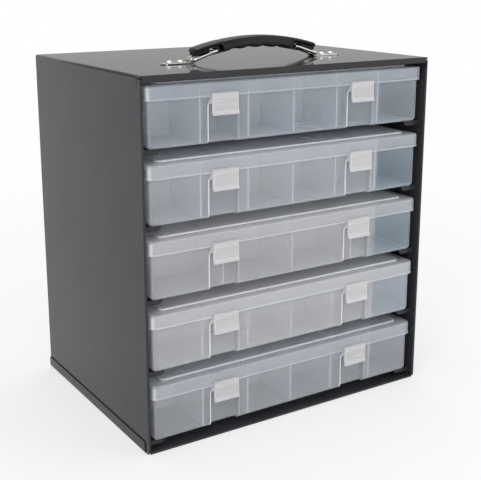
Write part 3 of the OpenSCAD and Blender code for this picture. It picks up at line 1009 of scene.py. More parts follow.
@dataclass
class BoxLid:
    """Skirted lid with a raised panel, a bead along the skirt, latch windows and bars, and knuckles; its
    bead, shoulder, crown and corners carry painted highlights.
    """

    sizes: BoxSizes
    bead_out: float = 0.5
    bead_high: float = 1.4
    bead_highlight: float = 0.22
    crown_highlight: float = 0.75
    shoulder_highlight: float = 0.12
    corner_spread: float = 0.17
    edge_round: float = 1.8
    panel_round: float = 0.9
    panel_flat: float = 1.5
    fold: float = 1.0
    hem: float = 0.3
    bead_clear: float = 0.5
    lintel: float = 0.8
    shoulder_clear: float = 0.6
    shoulder_corner: float = 0.4
    hollow_round: float = 0.5
    hollow_clear: float = 1.4
    window_step: float = 0.06
    window_inner: float = 6.0
    front_clear: float = 1.2
    bar_over: float = 0.2
    bar_soft: float = 0.1
    knuckle_width: float = 16.0
    column_step: float = 12.0
    corner_steps: int = 9
    bead_steps: int = 7
    shoulder_steps: int = 6
    hollow_steps: int = 4
    crown_steps: int = 5
    bar_steps: int = 24

    def rings(self) -> tuple[np.ndarray, np.ndarray]:
        """Lists the lid's rings, from under the panel, down inside the skirt, round its bead and up.

        Returns:
            Rows for rounded_loops, and for each row its edge share all round and at the corners.
        """
        s = self.sizes
        outer = (s.lid_half, 0.0, s.lid_back, s.lid_corner)
        panel = (
            s.lid_half - s.panel_border_x,
            s.panel_border_y,
            s.lid_back - s.panel_border_y,
            s.panel_corner,
        )
        ceiling = s.rim_z - s.wall
        rows = [
            inset_ring(panel, s.wall + self.fold, s.panel_z - s.wall),
            inset_ring(panel, s.wall, s.panel_z - s.wall),
            inset_ring(panel, s.wall, ceiling),
            inset_ring(panel, s.wall - self.fold, ceiling),
            inset_ring(outer, s.wall + self.fold, ceiling),
            inset_ring(outer, s.wall, ceiling - self.fold),
            inset_ring(outer, s.wall, s.window_top + self.lintel),
            inset_ring(outer, s.wall, s.skirt_z + self.hem),
            inset_ring(outer, s.wall - self.hem, s.skirt_z),
        ]
        shares = [(0.0, 0.0)] * len(rows)
        bead = arc_points((0.0, 0.0), 1.0, -90.0, 90.0, self.bead_steps)
        middle = s.skirt_z + self.bead_high / 2
        rows += [inset_ring(outer, -self.bead_out * c, middle + self.bead_high / 2 * z) for c, z in bead]
        # Painted highlight along the skirt's bead.
        shares += [(self.bead_highlight, 1.0)] * len(bead)
        rows += [
            inset_ring(outer, 0.0, s.skirt_z + self.bead_high + self.bead_clear),
            inset_ring(outer, 0.0, s.window_top + self.lintel),
            inset_ring(outer, 0.0, s.rim_z - self.edge_round - self.shoulder_clear),
        ]
        # Painted highlight: down the corners, and half the shoulder's just below the shoulder.
        shares += [(0.0, 1.0), (0.0, 1.0), (self.shoulder_highlight / 2, 1.0)]
        bend = self.edge_round
        shoulder = arc_points((bend, s.rim_z - bend), bend, 180.0, 90.0, self.shoulder_steps)
        rows += inset_rings(outer, shoulder)
        # Painted highlight along the shoulder.
        shares += [(self.shoulder_highlight, self.shoulder_corner)] * len(shoulder)
        rows.append(inset_ring(outer, bend + self.fold, s.rim_z))
        rows.append(inset_ring(panel, -self.hollow_clear, s.rim_z))
        dip = self.hollow_round
        hollow = arc_points((-dip, s.rim_z + dip), dip, 270.0, 360.0, self.hollow_steps)
        rows += inset_rings(panel, hollow)
        shares += [(0.0, 0.0)] * (2 + len(hollow))
        crest = self.panel_round
        crown = arc_points((crest, s.panel_z - crest), crest, 180.0, 90.0, self.crown_steps)
        rows += inset_rings(panel, crown)
        # Painted highlight along the panel's crown.
        shares += [(self.crown_highlight, 0.0)] * len(crown)
        rows.append(inset_ring(panel, crest + self.panel_flat, s.panel_z))
        shares.append((0.0, 0.0))
        return np.array(rows), np.array(shares)

    def add_body(self, shell: Shell) -> None:
        """Lofts the rings and lifts the skirt's lower edge over the latch windows.

        Inside a window, heights below its top are pressed into a thin band just above it.

        Args:
            shell: where the lofted part goes.
        """
        s = self.sizes
        half = s.lid_half - s.lid_corner
        step = np.array([-self.window_step, self.window_step])
        inner = [-self.window_inner, self.window_inner]
        edges = np.concatenate([step - s.window_half, inner, step + s.window_half])
        fronts = s.front_shares(edges, self.column_step, half)
        rings, shares = self.rings()
        grid = rounded_loops(rings, fronts, self.corner_steps)
        x, y, z = np.moveaxis(grid, -1, 0)
        front = y < s.wall + self.front_clear
        inside = np.abs(np.abs(x) - s.latch_x) < s.window_half
        share = (z - s.skirt_z) / (s.window_top - s.skirt_z)
        low = front & inside & (z < s.window_top)
        grid[..., 2] = np.where(low, s.window_top + self.lintel * share, z)
        # Painted highlight down each rounded corner.
        corner = corner_shares(len(fronts), self.corner_steps, self.corner_spread)
        shell.add(grid, edge=np.maximum(shares[:, :1], shares[:, 1:] * corner))

    def shell(self) -> Shell:
        """Joins the lid's body, its latch bars, and the knuckles with their webs.

        Returns:
            The closed parts.
        """
        s = self.sizes
        shell = Shell()
        self.add_body(shell)
        last = 360.0 - 360.0 / self.bar_steps
        disc = arc_points((s.latch_axis_y, s.axis_z), s.bar_radius, 0.0, last, self.bar_steps)
        bar = carry_across(disc, s.window_half + self.bar_over, self.bar_soft)
        web_y = s.lid_back - s.wall / 2
        rise = (s.axis_z + s.hinge_bore, s.axis_z + s.hinge_radius)
        for side in Side:
            shell.add(bar + np.array([side.value * s.latch_x, 0.0, 0.0]))
            s.add_knuckle(shell, side.value * s.hinge_x, self.knuckle_width, web_y, rise)
        return shell


@dataclass
class BoxBase:
    """Tray with rounded lower edges, latch recesses in front, ribs that hold dividers, and hinge ears."""

    sizes: BoxSizes
    columns: int
    recess_half: float = 16.0
    recess_depth: float = 3.5
    recess_top: float = 39.0
    recess_round: float = 3.0
    recess_soft: float = 0.55
    bead_out: float = 0.7
    bead_wide: float = 0.9
    bead_and_highlight_left: float = 1.0
    bead_and_highlight_right: float = 0.3
    corner_highlight: float = 0.40
    corner_spread: float = 0.17
    top_light_share: float = 0.10
    top_light_low: float = 22.0
    foot_light_share: float = 0.14
    foot_high: float = 7.0
    floor_round: float = 2.0
    foot_round: float = 5.0
    rib_half: float = 0.5
    rib_deep: float = 1.3
    rib_apart: float = 1.35
    rib_below: float = 3.0
    rib_bite: float = 0.2
    rib_share: float = 0.05
    rib_steps: int = 7
    ear_width: float = 7.0
    ear_x: float = 11.8
    arm_top: float = 44.7
    arm_high: float = 2.6
    low_heights: tuple[float, ...] = (8.0, 16.0, 24.0, 32.0)
    high_heights: tuple[float, ...] = (46.0, 52.0)
    bend_below: float = 0.8
    bend_above: float = 1.2
    bend_step: float = 0.4
    recess_inner: float = 6.0
    rim_round: float = 0.3
    flat_clear: float = 1.5
    column_step: float = 12.0
    corner_steps: int = 8
    floor_steps: int = 6
    foot_steps: int = 8

    @property
    def outer(self) -> tuple[float, float, float, float]:
        """Works out the outside outline, which lies under the lid's by the overhang.

        Returns:
            Half width, front, back and corner radius.
        """
        s = self.sizes
        inset = s.overhang
        return (s.lid_half - inset, inset, s.lid_back - inset, s.lid_corner - inset)

    def wall_heights(self, top: float) -> np.ndarray:
        """Lists heights up a wall, close together round the top of a recess.

        Args:
            top: top of the recess on this face.

        Returns:
            Rising heights between the foot and the rim.
        """
        bend = np.arange(top - self.recess_round - self.bend_below, top + self.bend_above, self.bend_step)
        return np.concatenate([self.low_heights, bend, self.high_heights])

    def rings(self) -> tuple[np.ndarray, np.ndarray]:
        """Lists the base's rings, from its floor inside, up over the rim, and down to its underside.

        Returns:
            Rows for rounded_loops, and for each row whether it lies on the inner face.
        """
        s = self.sizes
        outer = self.outer
        low = s.wall + self.floor_round
        floor = arc_points((low, low), self.floor_round, 270.0, 180.0, self.floor_steps)
        inside = [inset_ring(outer, low + self.flat_clear, s.wall)]
        inside += inset_rings(outer, floor)
        inside += [inset_ring(outer, s.wall, z) for z in self.wall_heights(self.recess_top + s.wall)]
        rim = self.rim_round
        inside.append(inset_ring(outer, s.wall, s.base_top - rim))
        inside.append(inset_ring(outer, s.wall - rim, s.base_top))
        outside = [inset_ring(outer, rim, s.base_top), inset_ring(outer, 0.0, s.base_top - rim)]
        outside += [inset_ring(outer, 0.0, z) for z in self.wall_heights(self.recess_top)[::-1]]
        bend = self.foot_round
        foot = arc_points((bend, bend), bend, 180.0, 270.0, self.foot_steps)
        outside += inset_rings(outer, foot)
        outside.append(inset_ring(outer, bend + self.flat_clear, 0.0))
        is_inner = np.array([True] * len(inside) + [False] * len(outside))
        return np.array(inside + outside), is_inner

    def recess_gap(self, x: np.ndarray, z: np.ndarray, grow: np.ndarray) -> np.ndarray:
        """Measures how far a front point lies outside a latch recess.

        The recess is a rectangle, open below, with round upper corners.

        Args:
            x: distance from the middle of the box.
            z: height.
            grow: how much wider and higher the recess is on this face.

        Returns:
            Signed distances from the outline, negative inside.
        """
        across = np.abs(np.abs(x) - self.sizes.latch_x) - (self.recess_half + grow - self.recess_round)
        above = z - (self.recess_top + grow - self.recess_round)
        outside = np.hypot(np.maximum(across, 0.0), np.maximum(above, 0.0))
        return outside + np.minimum(np.maximum(across, above), 0.0) - self.recess_round

    def add_body(self, shell: Shell) -> None:
        """Lofts the rings and presses the recesses into both faces of the front wall.

        A face moves back by the recess's depth, smoothly over its outline. On the outer face the outline
        is also a low bead, which falls off as a bell with the distance and is lower on the right; the bell
        also paints a highlight, stronger on the left. The walls get painted light, as extra milk, towards
        the rim and the foot, and a painted highlight down each corner.

        Args:
            shell: where the lofted part goes.
        """
        s = self.sizes
        rings, is_inner = self.rings()
        half = self.outer[0] - self.outer[3]
        side = np.arange(-self.recess_round - self.bend_below, s.wall + self.bend_above, self.bend_step)
        side += self.recess_half
        inner = [-self.recess_inner, 0.0, self.recess_inner]
        shares = s.front_shares(np.concatenate([-side[::-1], inner, side]), self.column_step, half)
        grid = rounded_loops(rings, shares, self.corner_steps)
        outer_face = np.where(is_inner, 0.0, 1.0)[:, None]
        front = grid[:, : len(shares)]
        gap = self.recess_gap(front[..., 0], front[..., 2], s.wall * (1.0 - outer_face))
        is_left = front[..., 0] < np.sign(front[..., 0]) * s.latch_x
        # The bead's bell is also a painted highlight along the outline, stronger on the left.
        bell = outer_face * np.exp(-((gap / self.bead_wide - 1.0) ** 2))
        bell *= np.where(is_left, self.bead_and_highlight_left, self.bead_and_highlight_right)
        height = grid[..., 2]
        # Painted light: extra milk rising towards the rim and towards the foot, and a painted highlight
        # down each corner.
        top_light = self.top_light_share * smooth_step(self.top_light_low, s.skirt_z, height)
        foot = self.foot_light_share * smooth_step(self.foot_high, 0.0, height)
        corner = self.corner_highlight * corner_shares(len(shares), self.corner_steps, self.corner_spread)
        edge = outer_face * np.maximum(top_light + foot, corner)
        edge[:, : len(shares)] = np.maximum(edge[:, : len(shares)], bell)
        front[..., 1] += self.recess_depth * smooth_step(self.recess_soft, -self.recess_soft, gap)
        front[..., 1] -= self.bead_out * bell
        shell.add(grid, edge=edge)

    def add_ribs(self, shell: Shell) -> None:
        """Adds a pair of upright ribs at each end of each long divider.

        A rib is half an ellipse, carried up from the floor to just under the rim. A divider that meets a
        recess has no ribs in front.

        Args:
            shell: where the ribs go.
        """
        s = self.sizes
        half, front, back, _ = self.outer
        angle = np.linspace(0.0, math.pi, self.rib_steps)
        across = self.rib_half * np.cos(angle)
        deep = self.rib_deep * np.sin(angle) - self.rib_bite
        ends = np.array([s.wall - self.rib_bite, s.base_top - self.rib_below])
        for place in (half - s.wall) * (2.0 * np.arange(1, self.columns) / self.columns - 1.0):
            walls = [back - s.wall - deep]
            if abs(abs(place) - s.latch_x) > self.recess_half + s.wall:
                walls.append(front + s.wall + deep)
            for y in walls:
                for side in Side:
                    x = place + side.value * self.rib_apart + across
                    ring = np.stack([x, y, np.zeros_like(x)], axis=-1)
                    rise = ends[:, None, None] * np.array([0.0, 0.0, 1.0])
                    shell.add(ring[None] + rise, edge=self.rib_share)

    def shell(self) -> Shell:
        """Joins the base's body, its ribs, and its hinge ears with their arms.

        Returns:
            The closed parts.
        """
        s = self.sizes
        shell = Shell()
        self.add_body(shell)
        self.add_ribs(shell)
        arm_y = s.lid_back - s.overhang - s.wall / 2
        rise = (self.arm_top - self.arm_high, self.arm_top)
        for side in Side:
            for ear in Side:
                x = side.value * s.hinge_x + ear.value * self.ear_x
                s.add_knuckle(shell, x, self.ear_width, arm_y, rise)
        return shell


@dataclass
class BoxLatch:
    """Snap latch: a clip round the lid's bar, a grooved plate with a flared lip, cheeks and a hook."""

    sizes: BoxSizes
    half_width: float = 14.5
    length: float = 19.0
    thick: float = 1.8
    clip_radius: float = 2.2
    clip_bore: float = 1.2
    lip_length: float = 5.0
    lip_out: float = 1.4
    groove_z: float = -4.8
    groove_deep: float = 0.3
    groove_half: float = 0.5
    groove_pitch: float = 1.9
    groove_count: int = 3
    frame_wide: float = 1.6
    frame_top: float = -3.2
    frame_highlight: float = 0.14
    panel_deep: float = 0.3
    panel_slope: float = 0.4
    cheek_thick: float = 1.4
    cheek_high: float = 8.0
    hook_half: float = 11.5
    hook_top: float = -8.2
    hook_high: float = 2.0
    hook_reach: float = 4.8
    hook_soft: float = 0.25
    soft: float = 0.45
    bite: float = 0.3
    near: float = 0.01
    gap_angle: float = -60.0
    plate_top: float = -0.6
    panel_foot: float = 0.5
    lip_sweep: float = 0.55
    lip_fall: float = 0.75
    lip_back: float = 0.6
    lip_front: float = 0.4
    lip_first: float = -20.0
    lip_last: float = -200.0
    cheek_top: float = -0.2
    cheek_corner: float = 1.2
    cheek_soft: float = 0.2
    over_steps: int = 22
    under_steps: int = 20
    lip_steps: int = 9
    bend_steps: int = 7
    corner_steps: int = 6

    def outline(self) -> np.ndarray:
        """Draws the latch's side outline in y and z about its axis.

        The clip is an outer arc and an inner arc with a gap below. The plate hangs from the clip's front,
        has V grooves in its upper half, and bends outwards into a lip with a round end.

        Returns:
            Outline points (n, 2), going round once.
        """
        rear = self.thick - self.clip_radius
        face = -self.clip_radius
        lip_z = self.lip_length - self.length
        inner_end = 360.0 - math.degrees(math.acos(rear / self.clip_bore))
        over = arc_points((0.0, 0.0), self.clip_radius, 180.0, self.gap_angle, self.over_steps)
        under = arc_points((0.0, 0.0), self.clip_bore, self.gap_angle, inner_end, self.under_steps)
        lip_middle = (face - self.lip_out + self.thick / 2, -self.length + self.thick / 2)
        lip_end = arc_points(lip_middle, self.thick / 2, self.lip_first, self.lip_last, self.lip_steps)
        bend = np.linspace(0.0, 1.0, self.bend_steps)
        sweep = self.lip_out * self.lip_sweep * bend**2
        fall = (self.lip_length - self.thick) * self.lip_fall * bend
        back = np.stack([rear - sweep, lip_z - self.lip_back - fall], axis=-1)
        front = np.stack([face - sweep, lip_z + self.lip_front - fall], axis=-1)[::-1]
        across = np.array([face, face + self.groove_deep, face])
        level = np.array([-self.groove_half, 0.0, self.groove_half])
        middles = self.groove_z - self.groove_pitch * np.arange(self.groove_count)[::-1]
        levels = (middles[:, None] + level).ravel()
        grooves = np.stack([np.tile(across, self.groove_count), levels], axis=-1)
        above_z = (self.frame_top - self.panel_slope, self.frame_top, self.plate_top)
        above = np.array([[face, z] for z in above_z])
        return np.concatenate([over, under, back, lip_end, front, grooves, above])

    def add_plate(self, shell: Shell) -> None:
        """Carries the outline across and sinks a panel into the plate's face, inside a frame that carries
        a painted highlight.

        Args:
            shell: where the plate goes.
        """
        inner = self.half_width - self.frame_wide
        outer = inner + self.panel_slope
        grid = carry_across(self.outline(), self.half_width, self.soft, (-outer, -inner, inner, outer))
        x, y, z = np.moveaxis(grid, -1, 0)
        is_face = y < self.groove_deep + self.near - self.clip_radius
        is_low = z < self.frame_top - self.near
        is_high = z > self.lip_length - self.length - self.panel_foot
        panel = is_face & (np.abs(x) < inner + self.near) & is_low & is_high
        # The frame round the panel gets a painted highlight.
        framed = (y < 0.0) & ~panel
        grid[..., 1] += self.panel_deep * panel
        shell.add(grid, edge=self.frame_highlight * framed)

    def shell(self) -> Shell:
        """Joins the latch's plate, its hook and its cheeks.

        Returns:
            The closed parts, about the latch's axis.
        """
        root = self.thick - self.clip_radius - self.bite
        shell = Shell()
        self.add_plate(shell)
        hook = np.array([
            [root, self.hook_top],
            [self.hook_reach, self.hook_top],
            [self.hook_reach, self.hook_top - self.hook_high / 2],
            [root, self.hook_top - self.hook_high],
        ])
        shell.add(carry_across(hook, self.hook_half, self.hook_soft))
        corner = self.cheek_corner
        middle = (self.clip_radius - corner, corner - self.cheek_high)
        foot = arc_points(middle, corner, 0.0, -90.0, self.corner_steps)
        top = [[root, self.cheek_top], [self.clip_radius, self.cheek_top]]
        cheek = np.concatenate([top, foot, [[root, -self.cheek_high]]])
        plate = carry_across(cheek, self.cheek_thick / 2, self.cheek_soft)
        for side in Side:
            shift = side.value * (self.half_width - self.cheek_thick / 2)
            shell.add(plate + np.array([shift, 0.0, 0.0]))
        return shell


@dataclass(frozen=True)
class BoxMix:
    """Make of one box: its milk, its cast, the painted shade at its right end as milk taken away, and its
    columns.

    A veil is the share of a face that is milk. An edge is the share that narrow faces and painted
    highlights have on top of it.
    """

    veil: float
    tone: Tone
    end_shade: float
    columns: int = 6
    lid_more: float = 0.03
    lid_rim: float = 0.7
    latch_veil: float = 0.35
    latch_highlight: float = 0.5
    long_more: float = 0.15
    cross_veil: float = 0.45
    divider_edge: float = 0.3


BOX_MIXES = (
    BoxMix(0.11, Tone.COOL, 0.015),
    BoxMix(0.17, Tone.MILD, 0.10),
    BoxMix(0.18, Tone.PLAIN, 0.095, columns=4),
    BoxMix(0.25, Tone.PLAIN, 0.06),
    BoxMix(0.14, Tone.MILD, 0.01),
)


@dataclass
class BoxFinishes:
    """Finishes of a compartment box."""

    base: bpy.types.Material
    lid: bpy.types.Material
    latch: bpy.types.Material
    long_divider: bpy.types.Material
    cross_divider: bpy.types.Material
    pin: bpy.types.Material

    @classmethod
    def mixed(
        cls, number: int, mix: BoxMix, pin: bpy.types.Material, effects: SharedEffects
    ) -> "BoxFinishes":
        """Mixes the plastics of one box, which is a little clearer or milkier than the next.

        Args:
            number: the box's number, for the finishes' names.
            mix: the box's plastic.
            pin: finish of the hinge pins.
            effects: the shared groups.

        Returns:
            The finishes.
        """
        plate = {"tone": mix.tone, "edge_and_highlight_veil": mix.divider_edge}
        looks = {
            "base": {"tone": mix.tone, "veil": mix.veil, "end_shade": mix.end_shade},
            "lid": {"tone": mix.tone, "veil": mix.veil + mix.lid_more, "rim": mix.lid_rim},
            "latch": {"tone": Tone.WHITE, "veil": mix.latch_veil, "edge_and_highlight_veil": mix.latch_highlight},
            "long_divider": {**plate, "veil": mix.veil + mix.long_more, "plate_axis": Axis.ACROSS},
            "cross_divider": {**plate, "veil": mix.cross_veil, "plate_axis": Axis.ALONG},
        }
        made = {
            part: FrostedPlastic(f"frosted_{part}_{number}", **look).material(effects)
            for part, look in looks.items()
        }
        return cls(pin=pin, **made)


@dataclass
class CompartmentBox:
    """One pull-out box: base, lid, two latches, dividers and hinge pins."""

    number: int
    columns: int
    sizes: BoxSizes
    finishes: BoxFinishes

    @property
    def name(self) -> str:
        """Gives the name that the box's nodes and bodies start with."""
        return f"box_{self.number}"

    def build(self) -> None:
        """Makes the moulded pieces and dresses the solids that stay in view."""
        origin = self.sizes.origin(self.number)
        base = BoxBase(self.sizes, self.columns).shell().moved(origin)
        set_piece(base, PlaceOf(f"{self.name}_base", self.name, Slot.FROSTED_BASE), self.finishes.base)
        lid = BoxLid(self.sizes).shell().moved(origin)
        lid_name = f"{self.name}_lid"
        set_piece(lid, PlaceOf(lid_name, lid_name, Slot.FROSTED_LID), self.finishes.lid)
        for side in Side:
            self.build_latch(side, origin)
        dress_node(f"{self.name}_long_dividers", self.finishes.long_divider)
        dress_node(f"{self.name}_cross_dividers", self.finishes.cross_divider)
        dress_node(f"{self.name}_hinge_pins", self.finishes.pin)

    def build_latch(self, side: Side, origin: tuple[float, float, float]) -> None:
        """Makes one latch.

        Args:
            side: which of the two.
            origin: place of the box.
        """
        s = self.sizes
        node = f"{self.name}_latch_{side.word}"
        axis = (side.value * s.latch_x + origin[0], s.latch_axis_y + origin[1], s.axis_z + origin[2])
        latch = BoxLatch(s).shell().moved(axis)
        set_piece(latch, PlaceOf(node, node, Slot.FROSTED_LATCH), self.finishes.latch)


# Handle


@dataclass
class CarryHandle:
    """Lift-up handle: riveted straps with rolled eyes, wire bails and an arched, slotted grip."""

    plate: bpy.types.Material
    plastic: bpy.types.Material
    origin: tuple[float, float, float] = (0.0, -50.0, 371.0)
    eye_x: float = 76.0
    eye_z: float = 3.36
    eye_radius: float = 3.16
    strap_thick: float = 1.5
    strap_long: float = 34.5
    strap_half: float = 6.0
    strap_edge: float = 0.3
    strap_ease: float = 1.6
    strap_flat_end: float = 1.2
    strap_least: float = 0.02
    strap_steps: int = 24
    roll_start: float = 268.0
    roll_end: float = -35.0
    roll_steps: int = 40
    rivet_places: tuple[float, float] = (88.5, 100.8)
    head_radius: float = 3.8
    head_high: float = 2.6
    head_step: float = 0.3
    tail_radius: float = 3.2
    tail_high: float = 1.4
    tail_step: float = 0.2
    pole_radius: float = 0.05
    dome_steps: int = 9
    turn_steps: int = 28
    shank_radius: float = 2.0
    sheet: float = 1.2
    bail_radius: float = 1.6
    bail_long: float = 28.0
    bail_half: float = 8.0
    bail_corner: float = 2.0
    bail_angle: float = 18.0
    bail_steps: int = 9
    wire_steps: int = 20
    grip_half: float = 75.0
    grip_wide: float = 9.0
    grip_arch: float = 260.0
    grip_apex: float = 25.6
    grip_under: float = 13.0
    grip_steps: int = 181
    grip_ease: float = 0.35
    section_steps: int = 48
    section_power: float = 0.55
    roof_thick: float = 5.0
    middle_half: float = 44.0
    fade_in: float = 3.0
    fade_out: float = 2.0
    end_run: float = 4.0
    end_most: float = 0.995
    end_narrow: float = 3.5
    end_low: float = 0.55
    web_half: float = 4.5
    web_bite: float = 3.0
    web_soft: float = 0.4
    web_shrink: float = 0.985
    web_steps: int = 96
    least_pace: float = 1e-6
    ray_digits: int = 6
    seat_z: float = 6.82
    seat_bevel: float = 1.0
    groove_pitch: float = 19.0
    groove_deep: float = 1.4
    slot_x: float = 52.24
    slot_z: float = 12.21
    slot_run: float = 2.87
    slot_radius: float = 2.15

    def build(self) -> None:
        """Makes every piece of the handle."""
        rivets = self.rivets().moved(self.origin)
        set_piece(rivets, PlaceOf("handle_rivets", "rack", Slot.NICKEL_PLATE), self.plate)
        for side in Side:
            strap = self.strap(side).moved(self.origin)
            set_piece(strap, PlaceOf(f"strap_{side.word}", "rack", Slot.NICKEL_PLATE), self.plate)
            bail = self.bail(side).moved(self.origin)
            name = f"bail_{side.word}"
            set_piece(bail, PlaceOf(name, name, Slot.NICKEL_PLATE), self.plate)
        grip = self.grip().moved(self.origin)
        set_piece(grip, PlaceOf("handle_grip", "grip", Slot.GRIP_PLASTIC), self.plastic)

    def rivets(self) -> Shell:
        """Turns four rivets: a domed head on the strap, a shank through both sheets and a domed tail.

        Returns:
            The closed parts.
        """
        dome = np.linspace(math.pi / 2, 0.0, self.dome_steps)
        head_r = self.head_radius * np.cos(dome)
        head_z = self.strap_thick + self.head_step + (self.head_high - self.head_step) * np.sin(dome)
        tail_r = self.tail_radius * np.cos(dome[::-1])
        tail_z = -self.sheet - self.tail_step - (self.tail_high - self.tail_step) * np.sin(dome[::-1])
        neck_r = [self.head_radius, self.shank_radius, self.shank_radius, self.tail_radius]
        neck_z = [self.strap_thick, self.strap_thick, -self.sheet, -self.sheet]
        radii = np.maximum(np.concatenate([head_r, neck_r, tail_r]), self.pole_radius)
        profile = turned(radii, np.concatenate([head_z, neck_z, tail_z]), self.turn_steps)
        shell = Shell()
        for side in Side:
            for x in self.rivet_places:
                shell.add(profile + np.array([side.value * x, 0.0, 0.0]))
        return shell

    def strap(self, side: Side) -> Shell:
        """Carries a flat strip along a line that ends in a rolled eye.

        The line runs flat from the round outer end to the eye, then round the eye's centre. The strip's
        half width follows a half circle at the outer end.

        Args:
            side: which of the two.

        Returns:
            The closed part.
        """
        middle = self.eye_radius - self.strap_thick / 2
        ease = np.linspace(0.0, 1.0, self.strap_steps) ** self.strap_ease
        end_x = self.strap_long * (1.0 - ease) + self.strap_flat_end * ease
        flat = np.stack([end_x, np.full_like(end_x, self.strap_thick / 2)], axis=-1)
        roll = arc_points((0.0, self.eye_z), middle, self.roll_start, self.roll_end, self.roll_steps)
        line = np.concatenate([flat, roll])
        along = np.gradient(line, axis=0)
        along /= np.linalg.norm(along, axis=1, keepdims=True)
        normal = sideways(along)
        reach = np.clip(self.strap_long - line[:, 0], self.strap_least, self.strap_half)
        is_flat = np.arange(len(line)) < len(flat)
        rounded = np.sqrt(self.strap_half**2 - (self.strap_half - reach) ** 2)
        half = np.where(is_flat, rounded, self.strap_half)
        edge = self.strap_edge
        thick = self.strap_thick / 2
        across = np.array([-1.0, -1.0, 0.0, 1.0, 1.0, 1.0, 1.0, 0.0, -1.0, -1.0])
        inset = np.array([0.0, edge, 0.0, -edge, 0.0, 0.0, -edge, 0.0, edge, 0.0])
        over = [thick - edge, thick, thick, thick, thick - edge]
        level = np.array(over + [-height for height in over[::-1]])
        y = half[:, None] * across + inset
        xz = line[:, None, :] + level[None, :, None] * normal[:, None, :]
        grid = np.stack([side.value * (self.eye_x + xz[..., 0]), y, xz[..., 1]], axis=-1)
        return Shell().add(grid)

    def bail(self, side: Side) -> Shell:
        """Carries a circle along a closed rounded rectangle that leans up from the eye to the grip.

        Args:
            side: which of the two.

        Returns:
            The closed part.
        """
        r = self.bail_corner
        corners = [
            ((-r, -self.bail_half + r), -90.0),
            ((-r, self.bail_half - r), 0.0),
            ((r - self.bail_long, self.bail_half - r), 90.0),
            ((r - self.bail_long, -self.bail_half + r), 180.0),
        ]
        bends = [arc_points(centre, r, start, start + 90.0, self.bail_steps) for centre, start in corners]
        line = np.concatenate(bends)
        along = np.roll(line, -1, axis=0) - np.roll(line, 1, axis=0)
        along /= np.linalg.norm(along, axis=1, keepdims=True)
        outward = sideways(along)
        angle = full_turn(self.wire_steps)
        flat = line[:, None, :] + self.bail_radius * np.cos(angle)[None, :, None] * outward[:, None, :]
        rise = np.broadcast_to(self.bail_radius * np.sin(angle)[None, :], flat.shape[:2])
        lean = math.radians(self.bail_angle)
        inward = flat[..., 0] * math.cos(lean) + rise * math.sin(lean)
        up = rise * math.cos(lean) - flat[..., 0] * math.sin(lean)
        grid = np.stack([side.value * (self.eye_x + inward), flat[..., 1], self.eye_z + up], axis=-1)
        return Shell().add(grid, capped=False)

    def arch(self, x: np.ndarray) -> np.ndarray:
        """Gives how far the arch, a circle, has dropped at distance x from its middle."""
        return self.grip_arch - np.sqrt(self.grip_arch**2 - x**2)

    def grip(self) -> Shell:
        """Joins the grip's arched body and the slotted web under each end.

        Returns:
            The closed parts.
        """
        shell = Shell().add(self.grip_body())
        for side in Side:
            shell.add(self.grip_web(side), capped=False)
        return shell

    def grip_body(self) -> np.ndarray:
        """Carries a rounded section along the arch.

        The section is a superellipse. Its top follows the arch. Its underside is an arch with rounded
        finger waves in the middle, and rises to the thin roof towards the ends. Both ends narrow by a
        quarter-circle law.

        Returns:
            Points as (stations, points round the section, 3).
        """
        even = np.linspace(-1.0, 1.0, self.grip_steps)
        ease = np.sin(np.linspace(-math.pi / 2, math.pi / 2, self.grip_steps))
        x = self.grip_half * (self.grip_ease * ease + (1.0 - self.grip_ease) * even)
        out = np.abs(x)
        top = self.grip_apex - self.arch(x)
        wave = 0.5 + 0.5 * np.cos(2 * math.pi * (out / self.groove_pitch - 0.5))
        last = 2 * self.groove_pitch
        waves = self.groove_deep * wave * smooth_step(last + self.fade_out, last - self.fade_in, out)
        deep_under = self.grip_under - self.arch(x) + waves
        share = smooth_step(self.middle_half - self.fade_in, self.middle_half + self.fade_out, out)
        under = deep_under * (1 - share) + (top - self.roof_thick) * share
        end = np.clip((out - self.grip_half + self.end_run) / self.end_run, 0.0, self.end_most)
        narrow = np.sqrt(1.0 - end**2)
        half_y = self.grip_wide - self.end_narrow * (1 - narrow)
        half_z = (top - under) / 2 * (1.0 - self.end_low + self.end_low * narrow)
        middle = (top + under) / 2
        angle = full_turn(self.section_steps)
        around_y = np.sign(np.cos(angle)) * np.abs(np.cos(angle)) ** self.section_power
        around_z = np.sign(np.sin(angle)) * np.abs(np.sin(angle)) ** self.section_power
        y = half_y[:, None] * around_y
        z = middle[:, None] + half_z[:, None] * around_z
        return np.stack([np.broadcast_to(x[:, None], y.shape), y, z], axis=-1)

